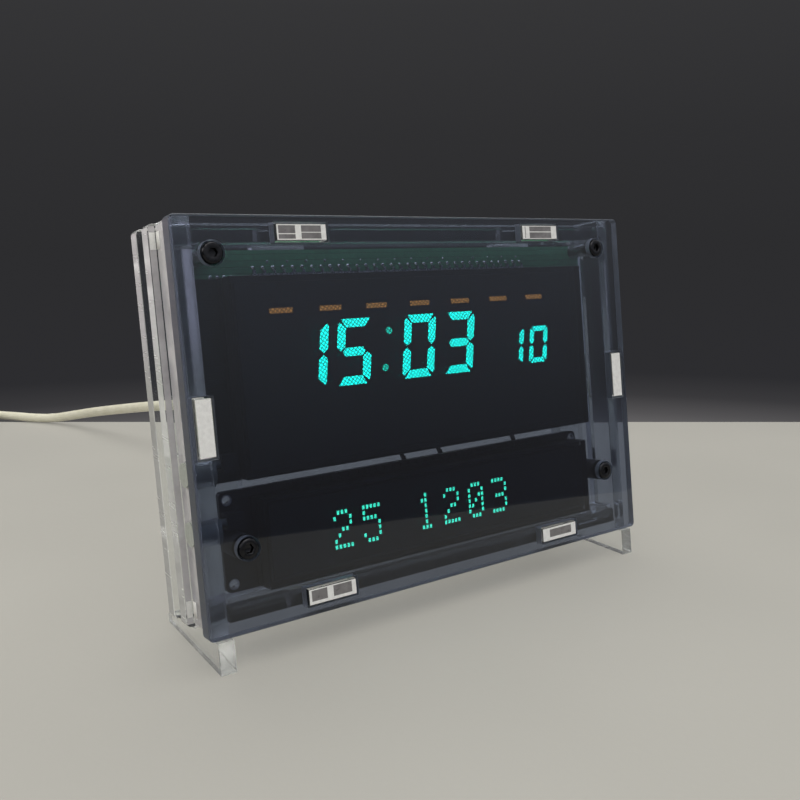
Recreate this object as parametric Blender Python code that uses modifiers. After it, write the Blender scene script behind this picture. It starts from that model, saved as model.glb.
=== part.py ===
"""A desk clock in a case of laser-cut acrylic sheet, leaning back on two feet.

A smoked front panel and clear walls hold two vacuum fluorescent displays on their boards. An inner
plate and a rear cover close the back, and a USB cable feeds the clock from behind. Everything in the
case is placed in the case's own frame: x runs right from the front panel's left edge, y runs back from
its front face and z runs up from its bottom edge. The case then leans back as one, about that edge.
"""

import math

import bmesh
import bpy
from mathutils import Matrix, Vector

# Plates of the case
panel_width = 0.1050
panel_height = 0.0714
sheet = 0.0030
panel_corner = 0.0010
inner_depth = 0.0080
rear_space = 0.0035
lean_angle = math.radians(7.37)

# Gap left between pieces that seat on each other
fit_gap = 0.0003

# Walls and their tabs
wall_inset = 0.0014
top_inset = 0.0015
bottom_inset = 0.0018
tab_length = 0.0100
tab_inset = 0.0240
side_tab_share = 0.504
lap_depth = 0.0050

# Feet
foot_length = 0.0258
foot_drop = 0.0061
foot_corner = 0.0012

# Screws, posts and spacers
screw_radius = 0.0010
head_radius = 0.0019
head_height = 0.0020
head_chamfer = 0.0003
socket_radius = 0.00087
socket_depth = 0.0010
thread_reach = 0.0020
low_post_radius = 0.00225
top_post_radius = 0.0016
spacer_radius = 0.00225
head_proud = 0.0002
top_screw_inset = 0.0071
top_screw_drop = 0.0064
low_screw_inset = 0.00855
low_screw_height = 0.0145

# Circuit boards
board_thickness = 0.0016
board_back_gap = 0.0003
board_side_gap = 0.0008
board_ear_height = 0.0054
board_ear_step = 0.0014
board_top_gap = 0.0006
board_bottom_gap = 0.0004
board_slit = 0.0017
main_board_bottom = 0.0252
date_board_side_gap = 0.0025
date_board_corner = 0.0010
date_hole_radius = 0.0009
date_hole_inset = 0.0015

# Display tubes: a glass tray in front of an anode plate
tube_front_gap = 0.0006
tray_depth = 0.0031
tray_wall = 0.0011
anode_thickness = 0.0018
main_tube_side_gap = 0.0061
main_tube_low_gap = 0.0006
main_tube_high_gap = 0.0050
date_tube_left_gap = 0.0022
date_tube_right_gap = 0.0012
date_tube_low_gap = 0.0004
date_tube_high_gap = 0.0016

# Display leads
lead_pitch = 0.0020
lead_width = 0.0005
lead_rise = 0.0011
lead_strip = 0.0004
lead_thickness = 0.0005
main_lead_count = 33
main_lead_shift = -0.0029
date_lead_count = 32
date_lead_shift = 0.0

# Push buttons in the left wall
button_radius = 0.0022
button_proud = 0.0006
button_depth = 0.0070
button_heights = (0.0174, 0.0278)
flange_radius = 0.0028
flange_thickness = 0.0007
stem_radius = 0.0007
stem_offset = 0.0012
stem_entry = 0.0003
button_travel = 0.0004
switch_inset = 0.0070
switch_length = 0.0030
switch_width = 0.0030
switch_height = 0.0032
switch_bore = 0.0010

# Window in the inner plate, which clears what stands behind the boards
window_side = 0.0125
window_bottom = 0.0085
window_top_inset = 0.0096
window_corner = 0.0025

# Sizes of what stands behind the boards: width, depth and height
wifi_board = (0.0160, 0.0008, 0.0240)
wifi_shield = (0.0120, 0.0022, 0.0150)
driver_chip = (0.0100, 0.0014, 0.0100)
clock_chip = (0.0050, 0.0015, 0.0040)
date_chip = (0.0080, 0.0015, 0.0060)
buzzer_size = (0.0090, 0.0040, 0.0090)
inductor_size = (0.0073, 0.0035, 0.0073)
cell_holder_size = (0.0140, 0.0006, 0.0140)

# Where each of them stands, as shares of the window's width and height
wifi_board_shares = (0.18, 0.685)
wifi_shield_shares = (0.18, 0.63)
driver_chip_shares = (0.42, 0.83)
clock_chip_shares = (0.595, 0.90)
date_chip_shares = (0.47, 0.12)
buzzer_shares = (0.42, 0.58)
inductor_shares = (0.62, 0.49)
cell_shares = (0.88, 0.78)
input_capacitor_shares = (0.595, 0.70)
output_capacitor_shares = (0.705, 0.70)
usb_share = 0.80

# Details of what stands behind the boards
chip_edge = 0.0003
buzzer_hole_radius = 0.0010
buzzer_hole_depth = 0.0010
cell_radius = 0.00625
cell_thickness = 0.0020
cell_edge = 0.0002
capacitor_radius = 0.00315
capacitor_height = 0.0054
capacitor_edge = 0.0004

# Wires that link the two boards
link_radius = 0.0005
link_clear = 0.0009
link_bulge = 0.0006
link_lean = 0.0008
link_shares = {"left": 0.450, "middle": 0.567, "right": 0.825}

# USB socket and the plug in it
usb_rise = 0.0043
usb_width = 0.00825
usb_thickness = 0.0024
usb_wall = 0.0003
usb_shell_length = 0.0066
usb_hollow_wall = 0.0004
usb_recess = 0.0003
grip_width = 0.0116
grip_thickness = 0.0058
grip_length = 0.0140
grip_edge = 0.0016
relief_length = 0.0120
relief_radius = 0.0027
relief_end_radius = 0.0022

# Cable, its coil and the tie round it
cord_radius = 0.0018
coil_centre = (-0.0800, 0.2390)
coil_radius = 0.0217
coil_pitch = 0.0041
coil_turns = 16.0 / 3.0
coil_start = math.radians(60.0)
coil_steps = 24
cord_rest = 0.00002
tie_thickness = 0.0006
tie_width = 0.0050
tie_corner = 0.0020
tie_angle = math.radians(120.0)
tie_slack = 0.0006
tail_length = 0.0280

# Far plug
far_grip_width = 0.0155
far_grip_thickness = 0.0076
far_grip_length = 0.0200
far_shell_width = 0.0120
far_shell_thickness = 0.0045
far_shell_length = 0.0120
far_shell_wall = 0.0004
far_relief_length = 0.0090

# The cable's way over the table, between the plug at the clock and the coil
cord_route = (
    (0.0237, 0.0580, 0.0266),
    (0.0218, 0.0760, 0.0246),
    (0.0180, 0.0950, 0.0226),
    (0.0128, 0.1140, 0.0205),
    (0.0070, 0.1315, 0.0184),
    (0.0008, 0.1475, 0.0162),
    (-0.0055, 0.1625, 0.0138),
    (-0.0112, 0.1800, 0.0107),
    (-0.0165, 0.1990, 0.0071),
    (-0.0215, 0.2130, 0.0041),
    (-0.0267, 0.2214, 0.0023),
    (-0.0318, 0.2280, 0.00183),
    (-0.0374, 0.2356, 0.00183),
    (-0.0436, 0.2436, 0.00183),
    (-0.0506, 0.2515, 0.0019),
    (-0.0582, 0.2577, 0.0022),
)

# Facets of round pieces, and the overrun of cutters
round_steps = 24
hole_steps = 16
corner_steps = 4
cut_overrun = 0.0005
weld_distance = 0.00001
cord_spacing_diameters = 2.5

# Places worked out from the sizes above
panel_back = sheet
wall_front = panel_back + fit_gap
plate_front = panel_back + inner_depth
wall_back = plate_front - fit_gap
plate_back = plate_front + sheet
cover_front = plate_back + rear_space
cover_back = cover_front + sheet
wall_inner = wall_inset + sheet
top_low = panel_height - top_inset - sheet
top_high = panel_height - top_inset
bottom_low = bottom_inset
bottom_high = bottom_inset + sheet
side_tab_low = side_tab_share * panel_height - tab_length / 2
side_tab_high = side_tab_low + tab_length
lap_front = wall_back - lap_depth
tab_centres = (tab_inset, panel_width - tab_inset)
main_board_top = top_low - board_top_gap
date_board_bottom = bottom_high + board_bottom_gap
date_board_top = main_board_bottom - board_slit
date_board_left = wall_inner + date_board_side_gap
date_board_right = panel_width - low_screw_inset - screw_radius - fit_gap
main_tube_left = wall_inner + main_tube_side_gap
date_tube_left = low_screw_inset + low_post_radius + date_tube_left_gap
date_tube_right = panel_width - low_screw_inset - low_post_radius - date_tube_right_gap
window_width = panel_width - 2 * window_side
window_top = panel_height - window_top_inset
window_height = window_top - window_bottom
usb_x = window_side + usb_share * window_width
usb_height = main_board_bottom + usb_rise
link_reach = usb_rise - usb_thickness / 2 - usb_wall - link_clear
board_back = plate_front - board_back_gap
board_front = board_back - board_thickness
tube_front = panel_back + tube_front_gap
tray_back = tube_front + tray_depth
anode_front = tray_back + fit_gap
parts_front = board_back + fit_gap
usb_mouth = cover_back - usb_recess
grip_front = cover_back + fit_gap
head_seat = head_height - head_proud
coil_lift = cord_rest + tie_thickness + fit_gap
top_screw_height = panel_height - top_screw_drop
screw_places = {
    "top_left": (top_screw_inset, top_screw_height),
    "top_right": (panel_width - top_screw_inset, top_screw_height),
    "bottom_left": (low_screw_inset, low_screw_height),
    "bottom_right": (panel_width - low_screw_inset, low_screw_height),
}

# Turns that stand a shape drawn in its own x and y on a wall, across it or facing forward or back
LYING = Matrix.Identity(3)
FACING = Matrix.Rotation(math.radians(90.0), 3, "X")
FACING_BACK = Matrix.Rotation(math.radians(-90.0), 3, "X")
SIDEWAYS = Matrix(((0, 0, 1), (1, 0, 0), (0, 1, 0)))


def clear_scene():
    """Remove what the file starts with."""
    for item in list(bpy.data.objects):
        bpy.data.objects.remove(item, do_unlink=True)


def new_collection(name):
    """A collection in the scene."""
    collection = bpy.data.collections.new(name)
    bpy.context.scene.collection.children.link(collection)
    return collection


def new_material(name, color, roughness, metallic=0.0, alpha=1.0):
    """A Principled material of one colour."""
    material = bpy.data.materials.new(name)
    material.use_nodes = True
    shader = material.node_tree.nodes["Principled BSDF"]
    shader.inputs["Base Color"].default_value = (*color, 1.0)
    shader.inputs["Roughness"].default_value = roughness
    shader.inputs["Metallic"].default_value = metallic
    shader.inputs["Alpha"].default_value = alpha
    material.diffuse_color = (*color, alpha)
    return material


clear_scene()
CLOCK = new_collection("desk_clock")
CUTTERS = new_collection("cutters")

SMOKED = new_material("smoked_acrylic", (0.05, 0.06, 0.08), 0.05, alpha=0.6)
CLEAR = new_material("clear_acrylic", (0.85, 0.88, 0.87), 0.08, alpha=0.35)
FROSTED = new_material("frosted_acrylic", (0.62, 0.65, 0.60), 0.40, alpha=0.8)
BLACK_STEEL = new_material("black_steel", (0.02, 0.02, 0.02), 0.35, metallic=0.8)
BLACK_NYLON = new_material("black_nylon", (0.02, 0.02, 0.02), 0.50)
GREEN_BOARD = new_material("green_board", (0.02, 0.10, 0.06), 0.40)
BLACK_BOARD = new_material("black_board", (0.015, 0.015, 0.02), 0.40)
DISPLAY_GLASS = new_material("display_glass", (0.30, 0.32, 0.33), 0.05, alpha=0.4)
ANODE = new_material("anode_plate", (0.01, 0.01, 0.012), 0.30)
STEEL = new_material("bright_steel", (0.70, 0.70, 0.70), 0.30, metallic=1.0)
CHIP = new_material("chip_plastic", (0.03, 0.03, 0.03), 0.50)
ALUMINIUM = new_material("can_aluminium", (0.75, 0.76, 0.78), 0.30, metallic=1.0)
WIRE = new_material("wire_cover", (0.02, 0.02, 0.02), 0.50)
CORD = new_material("cord_cover", (0.80, 0.78, 0.68), 0.50)
TIE = new_material("tie_band", (0.04, 0.04, 0.04), 0.70)


def add_part(name, data, material, parent=None, place=(0, 0, 0), turn=LYING):
    """Put a mesh or curve into the clock's collection as a named sub-part."""
    part = bpy.data.objects.new(name, data)
    CLOCK.objects.link(part)
    if not data.materials:
        data.materials.append(material)
    part.parent = parent
    part.location = place
    part.rotation_euler = turn.to_euler()
    return part


def to_mesh(item, name):
    """Turn an object into a closed mesh as it is drawn, and remove the object."""
    depsgraph = bpy.context.evaluated_depsgraph_get()
    mesh = bpy.data.meshes.new_from_object(item.evaluated_get(depsgraph))
    mesh.name = name
    bpy.data.objects.remove(item, do_unlink=True)
    shape = bmesh.new()
    shape.from_mesh(mesh)
    bmesh.ops.remove_doubles(shape, verts=shape.verts, dist=weld_distance)
    bmesh.ops.recalc_face_normals(shape, faces=shape.faces)
    shape.to_mesh(mesh)
    shape.free()
    return mesh


def smooth(mesh, angle=math.radians(40.0)):
    """Shade a round piece smooth, with its corners left sharp."""
    mesh.shade_smooth()
    mesh.set_sharp_from_angle(angle=angle)
    return mesh


def flat_mesh(name, loops, thickness):
    """A flat piece: its outline, then any holes, made thick about its middle plane."""
    outline = bpy.data.curves.new(name, "CURVE")
    outline.dimensions = "2D"
    outline.fill_mode = "BOTH"
    outline.extrude = thickness / 2
    for loop in loops:
        spline = outline.splines.new("POLY")
        spline.points.add(len(loop) - 1)
        for point, (x, y) in zip(spline.points, loop):
            point.co = (x, y, 0.0, 1.0)
        spline.use_cyclic_u = True
    item = bpy.data.objects.new(name, outline)
    CUTTERS.objects.link(item)
    return to_mesh(item, name)


def turned_mesh(name, profile, steps=round_steps):
    """A turned piece about its own z axis: its profile runs down its outer side, axis to axis."""
    line = bpy.data.meshes.new(name)
    line.from_pydata([(r, 0.0, z) for r, z in profile], [(i, i + 1) for i in range(len(profile) - 1)], [])
    item = bpy.data.objects.new(name, line)
    CUTTERS.objects.link(item)
    screw = item.modifiers.new("turn", "SCREW")
    screw.steps = steps
    screw.render_steps = steps
    screw.use_merge_vertices = True
    screw.merge_threshold = weld_distance
    return smooth(to_mesh(item, name))


def ring_profile(inner, outer, height):
    """The closed profile of a tube that stands on z = 0."""
    return ((inner, height), (outer, height), (outer, 0.0), (inner, 0.0), (inner, height))


def block_mesh(name, size, edge=0.0):
    """A box about its centre, with its edges rounded off where edge is given."""
    shape = bmesh.new()
    bmesh.ops.create_cube(shape, size=1.0)
    bmesh.ops.scale(shape, vec=size, verts=shape.verts)
    if edge:
        bmesh.ops.bevel(
            shape, geom=shape.edges[:], offset=edge, segments=2, profile=0.5, affect="EDGES", clamp_overlap=True
        )
    mesh = bpy.data.meshes.new(name)
    shape.to_mesh(mesh)
    shape.free()
    return mesh


def combined(mesh, tools, operation):
    """The mesh with placed tool meshes cut out of it or joined to it."""
    item = bpy.data.objects.new(mesh.name, mesh)
    CUTTERS.objects.link(item)
    cutters = []
    for tool, place, turn in tools:
        cutter = bpy.data.objects.new(tool.name, tool)
        CUTTERS.objects.link(cutter)
        cutter.matrix_world = Matrix.Translation(place) @ turn.to_4x4()
        cutter.hide_render = True
        cutter.display_type = "WIRE"
        cutters.append(cutter)
        step = item.modifiers.new(tool.name, "BOOLEAN")
        step.operation = operation
        step.solver = "EXACT"
        step.object = cutter
    bpy.context.view_layer.update()
    result = to_mesh(item, mesh.name)
    for cutter in cutters:
        bpy.data.objects.remove(cutter, do_unlink=True)
    return result


def rectangle(left, right, low, high):
    """The corners of an upright rectangle, anticlockwise."""
    return [(left, low), (right, low), (right, high), (left, high)]


def rounded(corners, radius, steps=corner_steps):
    """An outline with each corner replaced by an arc of that radius."""
    outline = []
    for i, corner in enumerate(corners):
        here = Vector(corner)
        before = (Vector(corners[i - 1]) - here).normalized()
        after = (Vector(corners[(i + 1) % len(corners)]) - here).normalized()
        half = before.angle(after) / 2
        centre = here + (before + after).normalized() * (radius / math.sin(half))
        start = here + before * (radius / math.tan(half)) - centre
        end = here + after * (radius / math.tan(half)) - centre
        sweep = start.angle_signed(end)
        for step in range(steps + 1):
            spoke = Matrix.Rotation(-sweep * step / steps, 2) @ start
            outline.append(tuple(centre + spoke))
    return outline


def circle(x, y, radius, steps=hole_steps):
    """A round outline."""
    angles = [2 * math.pi * i / steps for i in range(steps)]
    return [(x + radius * math.cos(a), y + radius * math.sin(a)) for a in angles]


def ground_height(y):
    """Where the table lies under the leaning case, in the case's frame."""
    return y * math.tan(lean_angle) - foot_drop


def leaned_back(y, z):
    """How far back a point of the case lies once the case leans."""
    return y * math.cos(lean_angle) + z * math.sin(lean_angle)


def place_case():
    """An empty that carries the case, standing it on its feet with the origin under its middle."""
    front = leaned_back(0.0, -foot_drop)
    back = max(
        leaned_back(cover_back + fit_gap + head_height, top_screw_height + head_radius),
        leaned_back(cover_back, panel_height),
        leaned_back(foot_length, -fit_gap),
    )
    case = bpy.data.objects.new("case_frame", None)
    CLOCK.objects.link(case)
    case.location = (-panel_width / 2, -(front + back) / 2, foot_drop * math.cos(lean_angle))
    case.rotation_euler = (-lean_angle, 0.0, 0.0)
    return case


def wall_slots():
    """The holes in a plate for the tabs of all four walls."""
    half = tab_length / 2 + fit_gap
    slots = []
    for centre in tab_centres:
        slots.append(rectangle(centre - half, centre + half, top_low - fit_gap, top_high + fit_gap))
        slots.append(rectangle(centre - half, centre + half, bottom_low - fit_gap, bottom_high + fit_gap))
    for left in (wall_inset, panel_width - wall_inner):
        right = left + sheet
        slots.append(rectangle(left - fit_gap, right + fit_gap, side_tab_low - fit_gap, side_tab_high + fit_gap))
    return slots


def screw_holes(names=tuple(screw_places)):
    """The clearance holes for the named screws."""
    return [circle(*screw_places[name], screw_radius + fit_gap) for name in names]


def build_plates(case):
    """The front panel, the inner plate and the rear cover."""
    outline = rounded(rectangle(0.0, panel_width, 0.0, panel_height), panel_corner)
    through = sheet + 2 * cut_overrun
    cuts = [(flat_mesh("slot", [loop], through), (0, 0, 0), LYING) for loop in wall_slots()]
    seat_radius = head_radius + fit_gap
    hole_radius = screw_radius + fit_gap
    floor = sheet / 2 - head_seat - fit_gap
    profile = [(0.0, through / 2), (seat_radius, through / 2), (seat_radius, floor), (hole_radius, floor)]
    profile += [(hole_radius, -through / 2), (0.0, -through / 2)]
    cuts += [(turned_mesh("head_seat", profile), (x, z, 0), LYING) for x, z in screw_places.values()]
    front = combined(flat_mesh("front_panel", [outline], sheet), cuts, "DIFFERENCE")
    add_part("front_panel", front, SMOKED, case, (0, sheet / 2, 0), FACING)
    window = rounded(
        rectangle(window_side, panel_width - window_side, window_bottom, window_top), window_corner
    )
    inner = flat_mesh("inner_back_plate", [outline, *wall_slots(), *screw_holes(), window], sheet)
    add_part("inner_back_plate", inner, CLEAR, case, (0, plate_front + sheet / 2, 0), FACING)
    half_width = usb_width / 2 + usb_wall + 2 * fit_gap
    half_height = usb_thickness / 2 + usb_wall + 2 * fit_gap
    port = rounded(
        rectangle(usb_x - half_width, usb_x + half_width, usb_height - half_height, usb_height + half_height),
        half_height / 2,
    )
    cover = flat_mesh("rear_cover", [outline, *screw_holes(), port], sheet)
    add_part("rear_cover", cover, CLEAR, case, (0, cover_front + sheet / 2, 0), FACING)


def side_outline():
    """The side wall with its tabs, the laps for the top and bottom walls, and the foot below."""
    foot_back = foot_length - foot_corner
    arc = [math.pi / 2 * step / corner_steps for step in range(corner_steps + 1)]
    foot_round = [
        (foot_back + foot_corner * math.cos(a), foot_corner * math.sin(a) - fit_gap - foot_corner) for a in arc
    ]
    laps = []
    for low, high in ((bottom_low, bottom_high), (top_low, top_high)):
        laps.append([(wall_back, low - fit_gap), (lap_front, low - fit_gap)])
        laps[-1] += [(lap_front, high + fit_gap), (wall_back, high + fit_gap)]
    rear_tab = [(wall_back, side_tab_low), (plate_back, side_tab_low)]
    rear_tab += [(plate_back, side_tab_high), (wall_back, side_tab_high)]
    front_tab = [(wall_front, side_tab_high), (0.0, side_tab_high)]
    front_tab += [(0.0, side_tab_low), (wall_front, side_tab_low)]
    outline = [(0.0, ground_height(0.0)), (foot_length, ground_height(foot_length))]
    outline += foot_round + [(wall_back, -fit_gap)] + laps[0] + rear_tab + laps[1]
    outline += [(wall_back, panel_height), (wall_front, panel_height)] + front_tab
    return outline + [(wall_front, -fit_gap), (0.0, -fit_gap)]


def lid_outline():
    """The top or bottom wall, with its tabs and the lapped ends that reach through the side walls."""
    half = tab_length / 2
    inner = wall_inner + fit_gap
    lap = lap_front + fit_gap
    outline = [(inner, wall_front)]
    for centre in tab_centres:
        outline += [(centre - half, wall_front), (centre - half, 0.0)]
        outline += [(centre + half, 0.0), (centre + half, wall_front)]
    outline += [(panel_width - inner, wall_front), (panel_width - inner, lap)]
    outline += [(panel_width - wall_inset, lap), (panel_width - wall_inset, wall_back)]
    for centre in reversed(tab_centres):
        outline += [(centre + half, wall_back), (centre + half, plate_back)]
        outline += [(centre - half, plate_back), (centre - half, wall_back)]
    return outline + [(wall_inset, wall_back), (wall_inset, lap), (inner, lap)]


def build_walls(case):
    """The four walls; the side walls reach down to the table as feet."""
    holes = [circle(button_depth, z, button_radius + fit_gap, round_steps) for z in button_heights]
    left = flat_mesh("left_side_panel", [side_outline(), *holes], sheet)
    right = flat_mesh("right_side_panel", [side_outline()], sheet)
    add_part("left_side_panel", left, CLEAR, case, (wall_inset + sheet / 2, 0, 0), SIDEWAYS)
    add_part("right_side_panel", right, CLEAR, case, (panel_width - wall_inset - sheet / 2, 0, 0), SIDEWAYS)
    lid = flat_mesh("wall_lid", [lid_outline()], sheet)
    add_part("top_panel", lid, CLEAR, case, (0, 0, top_low + sheet / 2))
    add_part("bottom_panel", lid, CLEAR, case, (0, 0, bottom_low + sheet / 2))


def screw_mesh(name, shank):
    """A socket-head screw: its head stands on z = 0 and its shank hangs below."""
    rim = head_radius - head_chamfer
    profile = [(0.0, head_height), (rim, head_height), (head_radius, head_height - head_chamfer)]
    profile += [(head_radius, 0.0), (screw_radius, 0.0), (screw_radius, -shank), (0.0, -shank)]
    socket = turned_mesh("socket", [(0.0, socket_depth), (socket_radius, socket_depth), (socket_radius, 0.0),
                                    (0.0, 0.0)], steps=6)
    place = Vector((0, 0, head_height - socket_depth + cut_overrun))
    socket.transform(Matrix.Scale((socket_depth + cut_overrun) / socket_depth, 4, (0, 0, 1)))
    return smooth(combined(turned_mesh(name, profile), [(socket, place - Vector((0, 0, cut_overrun)), LYING)],
                           "DIFFERENCE"))


def build_fasteners(case):
    """Front screws into posts, and rear screws through the plates and boards into the same posts."""
    post_length = board_front - panel_back - 2 * fit_gap
    spacer_length = rear_space - 2 * fit_gap
    front_screw = screw_mesh("front_screw", wall_front + thread_reach - head_seat)
    rear_reach = cover_back + fit_gap - (board_front - fit_gap) + thread_reach
    rear_screw = screw_mesh("rear_screw", rear_reach)
    bore = screw_radius + fit_gap
    low_post = turned_mesh("low_post", ring_profile(bore, low_post_radius, post_length))
    top_post = turned_mesh("top_post", ring_profile(bore, top_post_radius, post_length))
    spacer = turned_mesh("spacer", ring_profile(bore, spacer_radius, spacer_length))
    for place, (x, z) in screw_places.items():
        add_part(f"front_screw_{place}", front_screw, BLACK_STEEL, case, (x, head_seat, z), FACING)
        post, nylon = (top_post, CLEAR) if place.startswith("top") else (low_post, BLACK_NYLON)
        add_part(f"post_{place}", post, nylon, case, (x, board_front - fit_gap, z), FACING)
        add_part(f"rear_screw_{place}", rear_screw, BLACK_STEEL, case, (x, cover_back + fit_gap, z), FACING_BACK)
        add_part(f"rear_spacer_{place}", spacer, BLACK_NYLON, case, (x, cover_front - fit_gap, z), FACING)


def build_boards(case):
    """The main board behind the time display and the date board below it."""
    left = wall_inner + board_side_gap
    right = panel_width - left
    step = left + board_ear_step
    ear = main_board_top - board_ear_height
    outline = [(step, main_board_bottom), (right, main_board_bottom), (right, main_board_top)]
    outline += [(left, main_board_top), (left, ear), (step, ear)]
    main = flat_mesh("main_board", [outline, *screw_holes(("top_left", "top_right"))], board_thickness)
    middle = board_front + board_thickness / 2
    add_part("main_board", main, GREEN_BOARD, case, (0, middle, 0), FACING)
    corners = rectangle(date_board_left, date_board_right, date_board_bottom, date_board_top)
    holes = [
        circle(x, z, date_hole_radius)
        for x in (date_board_left + date_hole_inset, date_board_right - date_hole_inset)
        for z in (date_board_bottom + date_hole_inset, date_board_top - date_hole_inset)
    ]
    date = flat_mesh(
        "date_board", [rounded(corners, date_board_corner), *screw_holes(("bottom_left",)), *holes], board_thickness
    )
    add_part("date_board", date, BLACK_BOARD, case, (0, middle, 0), FACING)


def tray_mesh(name, width, height):
    """A glass tray, open at its back: a box whose back is hollowed out to leave its walls."""
    hollow_depth = tray_depth - tray_wall
    hollow = block_mesh(
        "hollow", (width - 2 * tray_wall, hollow_depth + cut_overrun, height - 2 * tray_wall)
    )
    place = (0, (tray_depth - hollow_depth + cut_overrun) / 2, 0)
    return combined(block_mesh(name, (width, tray_depth, height)), [(hollow, place, LYING)], "DIFFERENCE")


def lead_comb(name, count):
    """The leads of a display: a strip with upright teeth, centred on its lower edge."""
    half = (count - 1) * lead_pitch / 2 + lead_width
    outline = [(-half, 0.0), (half, 0.0), (half, lead_strip)]
    for i in reversed(range(count)):
        middle = (i - (count - 1) / 2) * lead_pitch
        outline += [(middle + lead_width / 2, lead_strip), (middle + lead_width / 2, lead_rise)]
        outline += [(middle - lead_width / 2, lead_rise), (middle - lead_width / 2, lead_strip)]
    outline.append((-half, lead_strip))
    return flat_mesh(name, [outline], lead_thickness)


def build_tube(case, prefix, left, right, low, high, lead_count, lead_shift):
    """One display: its glass tray, its anode plate and its leads above."""
    x = (left + right) / 2
    z = (low + high) / 2
    width = right - left
    height = high - low
    tray = tray_mesh(f"{prefix}_cover", width, height)
    add_part(f"{prefix}_cover", tray, DISPLAY_GLASS, case, (x, tube_front + tray_depth / 2, z))
    anode = block_mesh(f"{prefix}_anode_plate", (width, anode_thickness, height))
    add_part(f"{prefix}_anode_plate", anode, ANODE, case, (x, anode_front + anode_thickness / 2, z))
    leads = lead_comb(f"{prefix}_leads", lead_count)
    lead_y = board_front - fit_gap - lead_thickness / 2
    add_part(f"{prefix}_leads", leads, STEEL, case, (x + lead_shift, lead_y, high + fit_gap), FACING)


def build_displays(case):
    """The time display in the middle of the main board and the date display on the date board."""
    right = panel_width - main_tube_left
    low = main_board_bottom + main_tube_low_gap
    high = main_board_top - main_tube_high_gap
    build_tube(case, "time_display", main_tube_left, right, low, high, main_lead_count, main_lead_shift)
    low = date_board_bottom + date_tube_low_gap
    high = date_board_top - date_tube_high_gap
    build_tube(
        case, "date_display", date_tube_left, date_tube_right, low, high, date_lead_count, date_lead_shift
    )


def button_mesh():
    """A cap with a flange behind the wall and an offset stem; local z points out of the wall."""
    wall_side = wall_inner + fit_gap
    cap = wall_side - (wall_inset - button_proud)
    stem_length = switch_inset + stem_entry - wall_side
    profile = [(0.0, cap), (button_radius, cap), (button_radius, 0.0), (flange_radius, 0.0)]
    profile += [(flange_radius, -flange_thickness), (0.0, -flange_thickness)]
    stem = turned_mesh(
        "stem",
        [(0.0, 0.0), (stem_radius, 0.0), (stem_radius, -stem_length), (0.0, -stem_length)],
        steps=hole_steps,
    )
    raised = -flange_thickness / 2
    stem.transform(Matrix.Scale((stem_length + raised) / stem_length, 4, (0, 0, 1)))
    return smooth(combined(turned_mesh("button", profile), [(stem, (stem_offset, 0, raised), LYING)], "UNION"))


def build_buttons(case):
    """Two push buttons through the left wall and the switches that they press."""
    button = button_mesh()
    outward = Matrix.Rotation(math.radians(-90.0), 3, "Y")
    bore = turned_mesh(
        "bore", ring_profile(0.0, stem_radius + fit_gap, switch_bore + cut_overrun)[:4], steps=hole_steps
    )
    body = block_mesh("switch", (switch_length, switch_height, switch_width))
    switch_y = board_front - fit_gap - switch_height / 2
    mouth = Vector((-switch_length / 2 + switch_bore, button_depth - switch_y, 0))
    switch = combined(body, [(bore, mouth, outward)], "DIFFERENCE")
    for place, z in zip(("lower", "upper"), button_heights):
        add_part(
            f"{place}_button", button, FROSTED, case, (wall_inner + fit_gap, button_depth, z), outward
        )
        add_part(
            f"{place}_switch", switch, CHIP, case, (switch_inset + switch_length / 2, switch_y, z + stem_offset)
        )


def window_place(shares, y):
    """A place in the window, from its shares of the window's width and height."""
    across, up = shares
    return (window_side + across * window_width, y, window_bottom + up * window_height)


def add_block(case, name, size, shares, material, front=parts_front, edge=chip_edge):
    """A block behind a board, of that width, depth and height."""
    place = window_place(shares, front + size[1] / 2)
    add_part(name, block_mesh(name, size, edge), material, case, place)


def build_circuit(case):
    """What stands behind the boards, in the space that the inner plate's window leaves."""
    add_block(case, "wifi_module", wifi_board, wifi_board_shares, BLACK_BOARD, edge=0.0)
    shield_front = parts_front + wifi_board[1] + fit_gap
    add_block(case, "wifi_shield", wifi_shield, wifi_shield_shares, ALUMINIUM, shield_front)
    add_block(case, "display_driver", driver_chip, driver_chip_shares, CHIP)
    add_block(case, "clock_chip", clock_chip, clock_chip_shares, CHIP)
    add_block(case, "date_driver", date_chip, date_chip_shares, CHIP)
    add_block(case, "boost_inductor", inductor_size, inductor_shares, CHIP)
    build_buzzer(case)
    build_cell(case)
    can = capacitor_radius - capacitor_edge
    profile = [(0.0, capacitor_height), (can, capacitor_height)]
    profile += [(capacitor_radius, capacitor_height - capacitor_edge), (capacitor_radius, 0.0), (0.0, 0.0)]
    capacitor = turned_mesh("capacitor", profile)
    places = {"input_capacitor": input_capacitor_shares, "output_capacitor": output_capacitor_shares}
    for name, shares in places.items():
        add_part(name, capacitor, ALUMINIUM, case, window_place(shares, parts_front), FACING_BACK)


def build_buzzer(case):
    """A square sounder with a round hole in its back face."""
    depth = buzzer_size[1]
    hole = turned_mesh(
        "sound_hole", ring_profile(0.0, buzzer_hole_radius, buzzer_hole_depth + cut_overrun)[:4], steps=hole_steps
    )
    place = (0, depth / 2 - buzzer_hole_depth, 0)
    shape = combined(block_mesh("buzzer", buzzer_size), [(hole, place, FACING_BACK)], "DIFFERENCE")
    add_part("buzzer", shape, CHIP, case, window_place(buzzer_shares, parts_front + depth / 2))


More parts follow.
